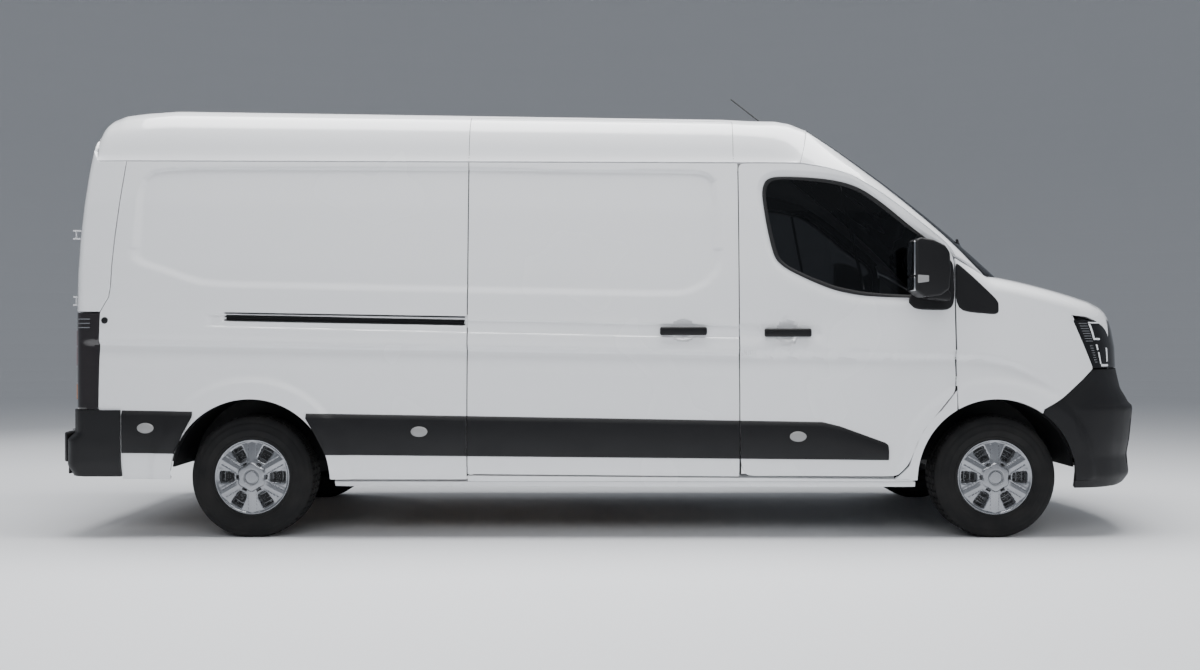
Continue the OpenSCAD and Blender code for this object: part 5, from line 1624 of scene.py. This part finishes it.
class VanPaint(bpy.types.PropertyGroup):
    """Colours and finishes of the van"""
    colour: FloatVectorProperty(name="Colour", description="Base colour of the body paint", subtype="COLOR",
                                default=(0.86, 0.87, 0.89), min=0, max=1)
    coat: FloatProperty(name="Coat", description="Strength of the clear coat", default=1.0, min=0, max=1)
    plastic_roughness: FloatProperty(name="Plastic roughness", description="Roughness of the black plastic",
                                     default=0.5, min=0.1, max=1)
    glass_tint: FloatProperty(name="Glass tint", description="Share of light that the panes let through",
                              default=0.2, min=0, max=1)


class VanWheels(bpy.types.PropertyGroup):
    """Detail of the tyres and wheel covers"""
    spokes: IntProperty(name="Spokes", description="Number of spokes and openings in a cover", default=6,
                        min=3, max=12)
    opening_place: FloatProperty(name="Opening place", description="Distance of an opening's middle from the hub",
                                 default=0.145, unit="LENGTH")
    opening_length: FloatProperty(name="Opening length", description="Size of an opening along the radius",
                                  default=0.086, unit="LENGTH")
    opening_width: FloatProperty(name="Opening width", description="Size of an opening round the wheel",
                                 default=0.062, unit="LENGTH")
    cover_steps: IntProperty(name="Cover steps", description="Steps round a cover", default=288, min=48, max=480)
    tyre_steps: IntProperty(name="Tyre steps", description="Steps round a tyre", default=168, min=48, max=240)


class VanStage(bpy.types.PropertyGroup):
    """Camera, lights and floor"""
    camera_place: FloatVectorProperty(name="Camera", description="Where the camera stands", subtype="TRANSLATION",
                                      default=(-0.071, -7.990, 1.150))
    lens: FloatProperty(name="Lens", description="Focal length in millimetres", default=37.1, min=10, max=200)
    world_light: FloatProperty(name="World light", description="Strength of the even light", default=0.42)
    top_light: FloatProperty(name="Top light", description="Power of the softbox above, in watts", default=1050.0)
    side_light: FloatProperty(name="Side light", description="Power of the softbox beside the camera, in watts",
                              default=210.0)
    front_light: FloatProperty(name="End lights", description="Power of the lights at the van's ends, in watts",
                               default=140.0)
    floor_colour: FloatVectorProperty(name="Floor", description="Colour of the floor", subtype="COLOR",
                                      default=(0.74, 0.75, 0.77), min=0, max=1)


class VAN_OT_camera(bpy.types.Operator):
    """Place the camera that the picture is taken from"""
    bl_idname = "van.camera"
    bl_label = "Camera"

    def execute(self, context):
        build_camera(context.scene.van_stage)
        return {"FINISHED"}


class VAN_OT_materials(bpy.types.Operator):
    """Make the materials and give the CAD nodes that stay theirs"""
    bl_idname = "van.materials"
    bl_label = "Materials"

    def execute(self, context):
        MAT.update(all_materials(context.scene.van_paint))
        paint_cad_nodes()
        return {"FINISHED"}


class VAN_OT_sides(bpy.types.Operator):
    """Build the side panels, sliding door, corners and sills"""
    bl_idname = "van.sides"
    bl_label = "Sides"

    def execute(self, context):
        build_sides()
        build_seams()
        return {"FINISHED"}


class VAN_OT_roof(bpy.types.Operator):
    """Build the roof, windscreen and pillars"""
    bl_idname = "van.roof"
    bl_label = "Roof and windscreen"

    def execute(self, context):
        build_roof()
        build_screen()
        return {"FINISHED"}


class VAN_OT_front(bpy.types.Operator):
    """Build the wings, bonnet, bumper, grille and headlights"""
    bl_idname = "van.front"
    bl_label = "Front"

    def execute(self, context):
        build_front()
        return {"FINISHED"}


class VAN_OT_trim(bpy.types.Operator):
    """Build the cladding, the sliding door's rail and the handles"""
    bl_idname = "van.trim"
    bl_label = "Trim"

    def execute(self, context):
        build_cladding()
        build_rail()
        build_handles()
        return {"FINISHED"}


class VAN_OT_rear(bpy.types.Operator):
    """Build the tail lamps, the rear bumper and the rear doors"""
    bl_idname = "van.rear"
    bl_label = "Rear"

    def execute(self, context):
        build_rear()
        build_rear_doors()
        return {"FINISHED"}


class VAN_OT_cab_doors(bpy.types.Operator):
    """Build the cab doors with their windows and mirrors"""
    bl_idname = "van.cab_doors"
    bl_label = "Cab doors"

    def execute(self, context):
        build_cab_doors()
        return {"FINISHED"}


class VAN_OT_wheels(bpy.types.Operator):
    """Build the tyres, wheel covers and rims"""
    bl_idname = "van.wheels"
    bl_label = "Wheels"

    def execute(self, context):
        build_wheels(context.scene.van_wheels)
        return {"FINISHED"}


class VAN_OT_cab(bpy.types.Operator):
    """Build the seats, dashboard and steering wheel"""
    bl_idname = "van.cab"
    bl_label = "Cab"

    def execute(self, context):
        build_cab()
        return {"FINISHED"}


class VAN_OT_stage(bpy.types.Operator):
    """Build the floor, the even light and the softboxes"""
    bl_idname = "van.stage"
    bl_label = "Stage"

    def execute(self, context):
        build_stage(context.scene.van_stage)
        return {"FINISHED"}


STEPS = (VAN_OT_camera, VAN_OT_materials, VAN_OT_sides, VAN_OT_roof, VAN_OT_front, VAN_OT_trim, VAN_OT_rear,
         VAN_OT_cab_doors, VAN_OT_wheels, VAN_OT_cab, VAN_OT_stage)


class VAN_PT_panel(bpy.types.Panel):
    """The van's steps and settings in the sidebar"""
    bl_idname = "VAN_PT_panel"
    bl_label = "Panel van"
    bl_space_type = "VIEW_3D"
    bl_region_type = "UI"
    bl_category = "Van"

    def draw(self, context):
        for step in STEPS:
            self.layout.operator(step.bl_idname)
        for group in (context.scene.van_paint, context.scene.van_wheels, context.scene.van_stage):
            for name in group.__annotations__:
                self.layout.prop(group, name)


GROUPS = {"van_paint": VanPaint, "van_wheels": VanWheels, "van_stage": VanStage}


def register():
    for cls in (*GROUPS.values(), *STEPS, VAN_PT_panel):
        bpy.utils.register_class(cls)
    for name, group in GROUPS.items():
        setattr(bpy.types.Scene, name, PointerProperty(type=group))


def unregister():
    for name in GROUPS:
        delattr(bpy.types.Scene, name)
    for cls in (VAN_PT_panel, *reversed(STEPS), *GROUPS.values()):
        bpy.utils.unregister_class(cls)


def main():
    register()
    for step in (bpy.ops.van.camera, bpy.ops.van.materials, bpy.ops.van.sides, bpy.ops.van.roof,
                 bpy.ops.van.front, bpy.ops.van.trim, bpy.ops.van.rear, bpy.ops.van.cab_doors,
                 bpy.ops.van.wheels, bpy.ops.van.cab, bpy.ops.van.stage):
        step()


if __name__ == "__main__":
    main()
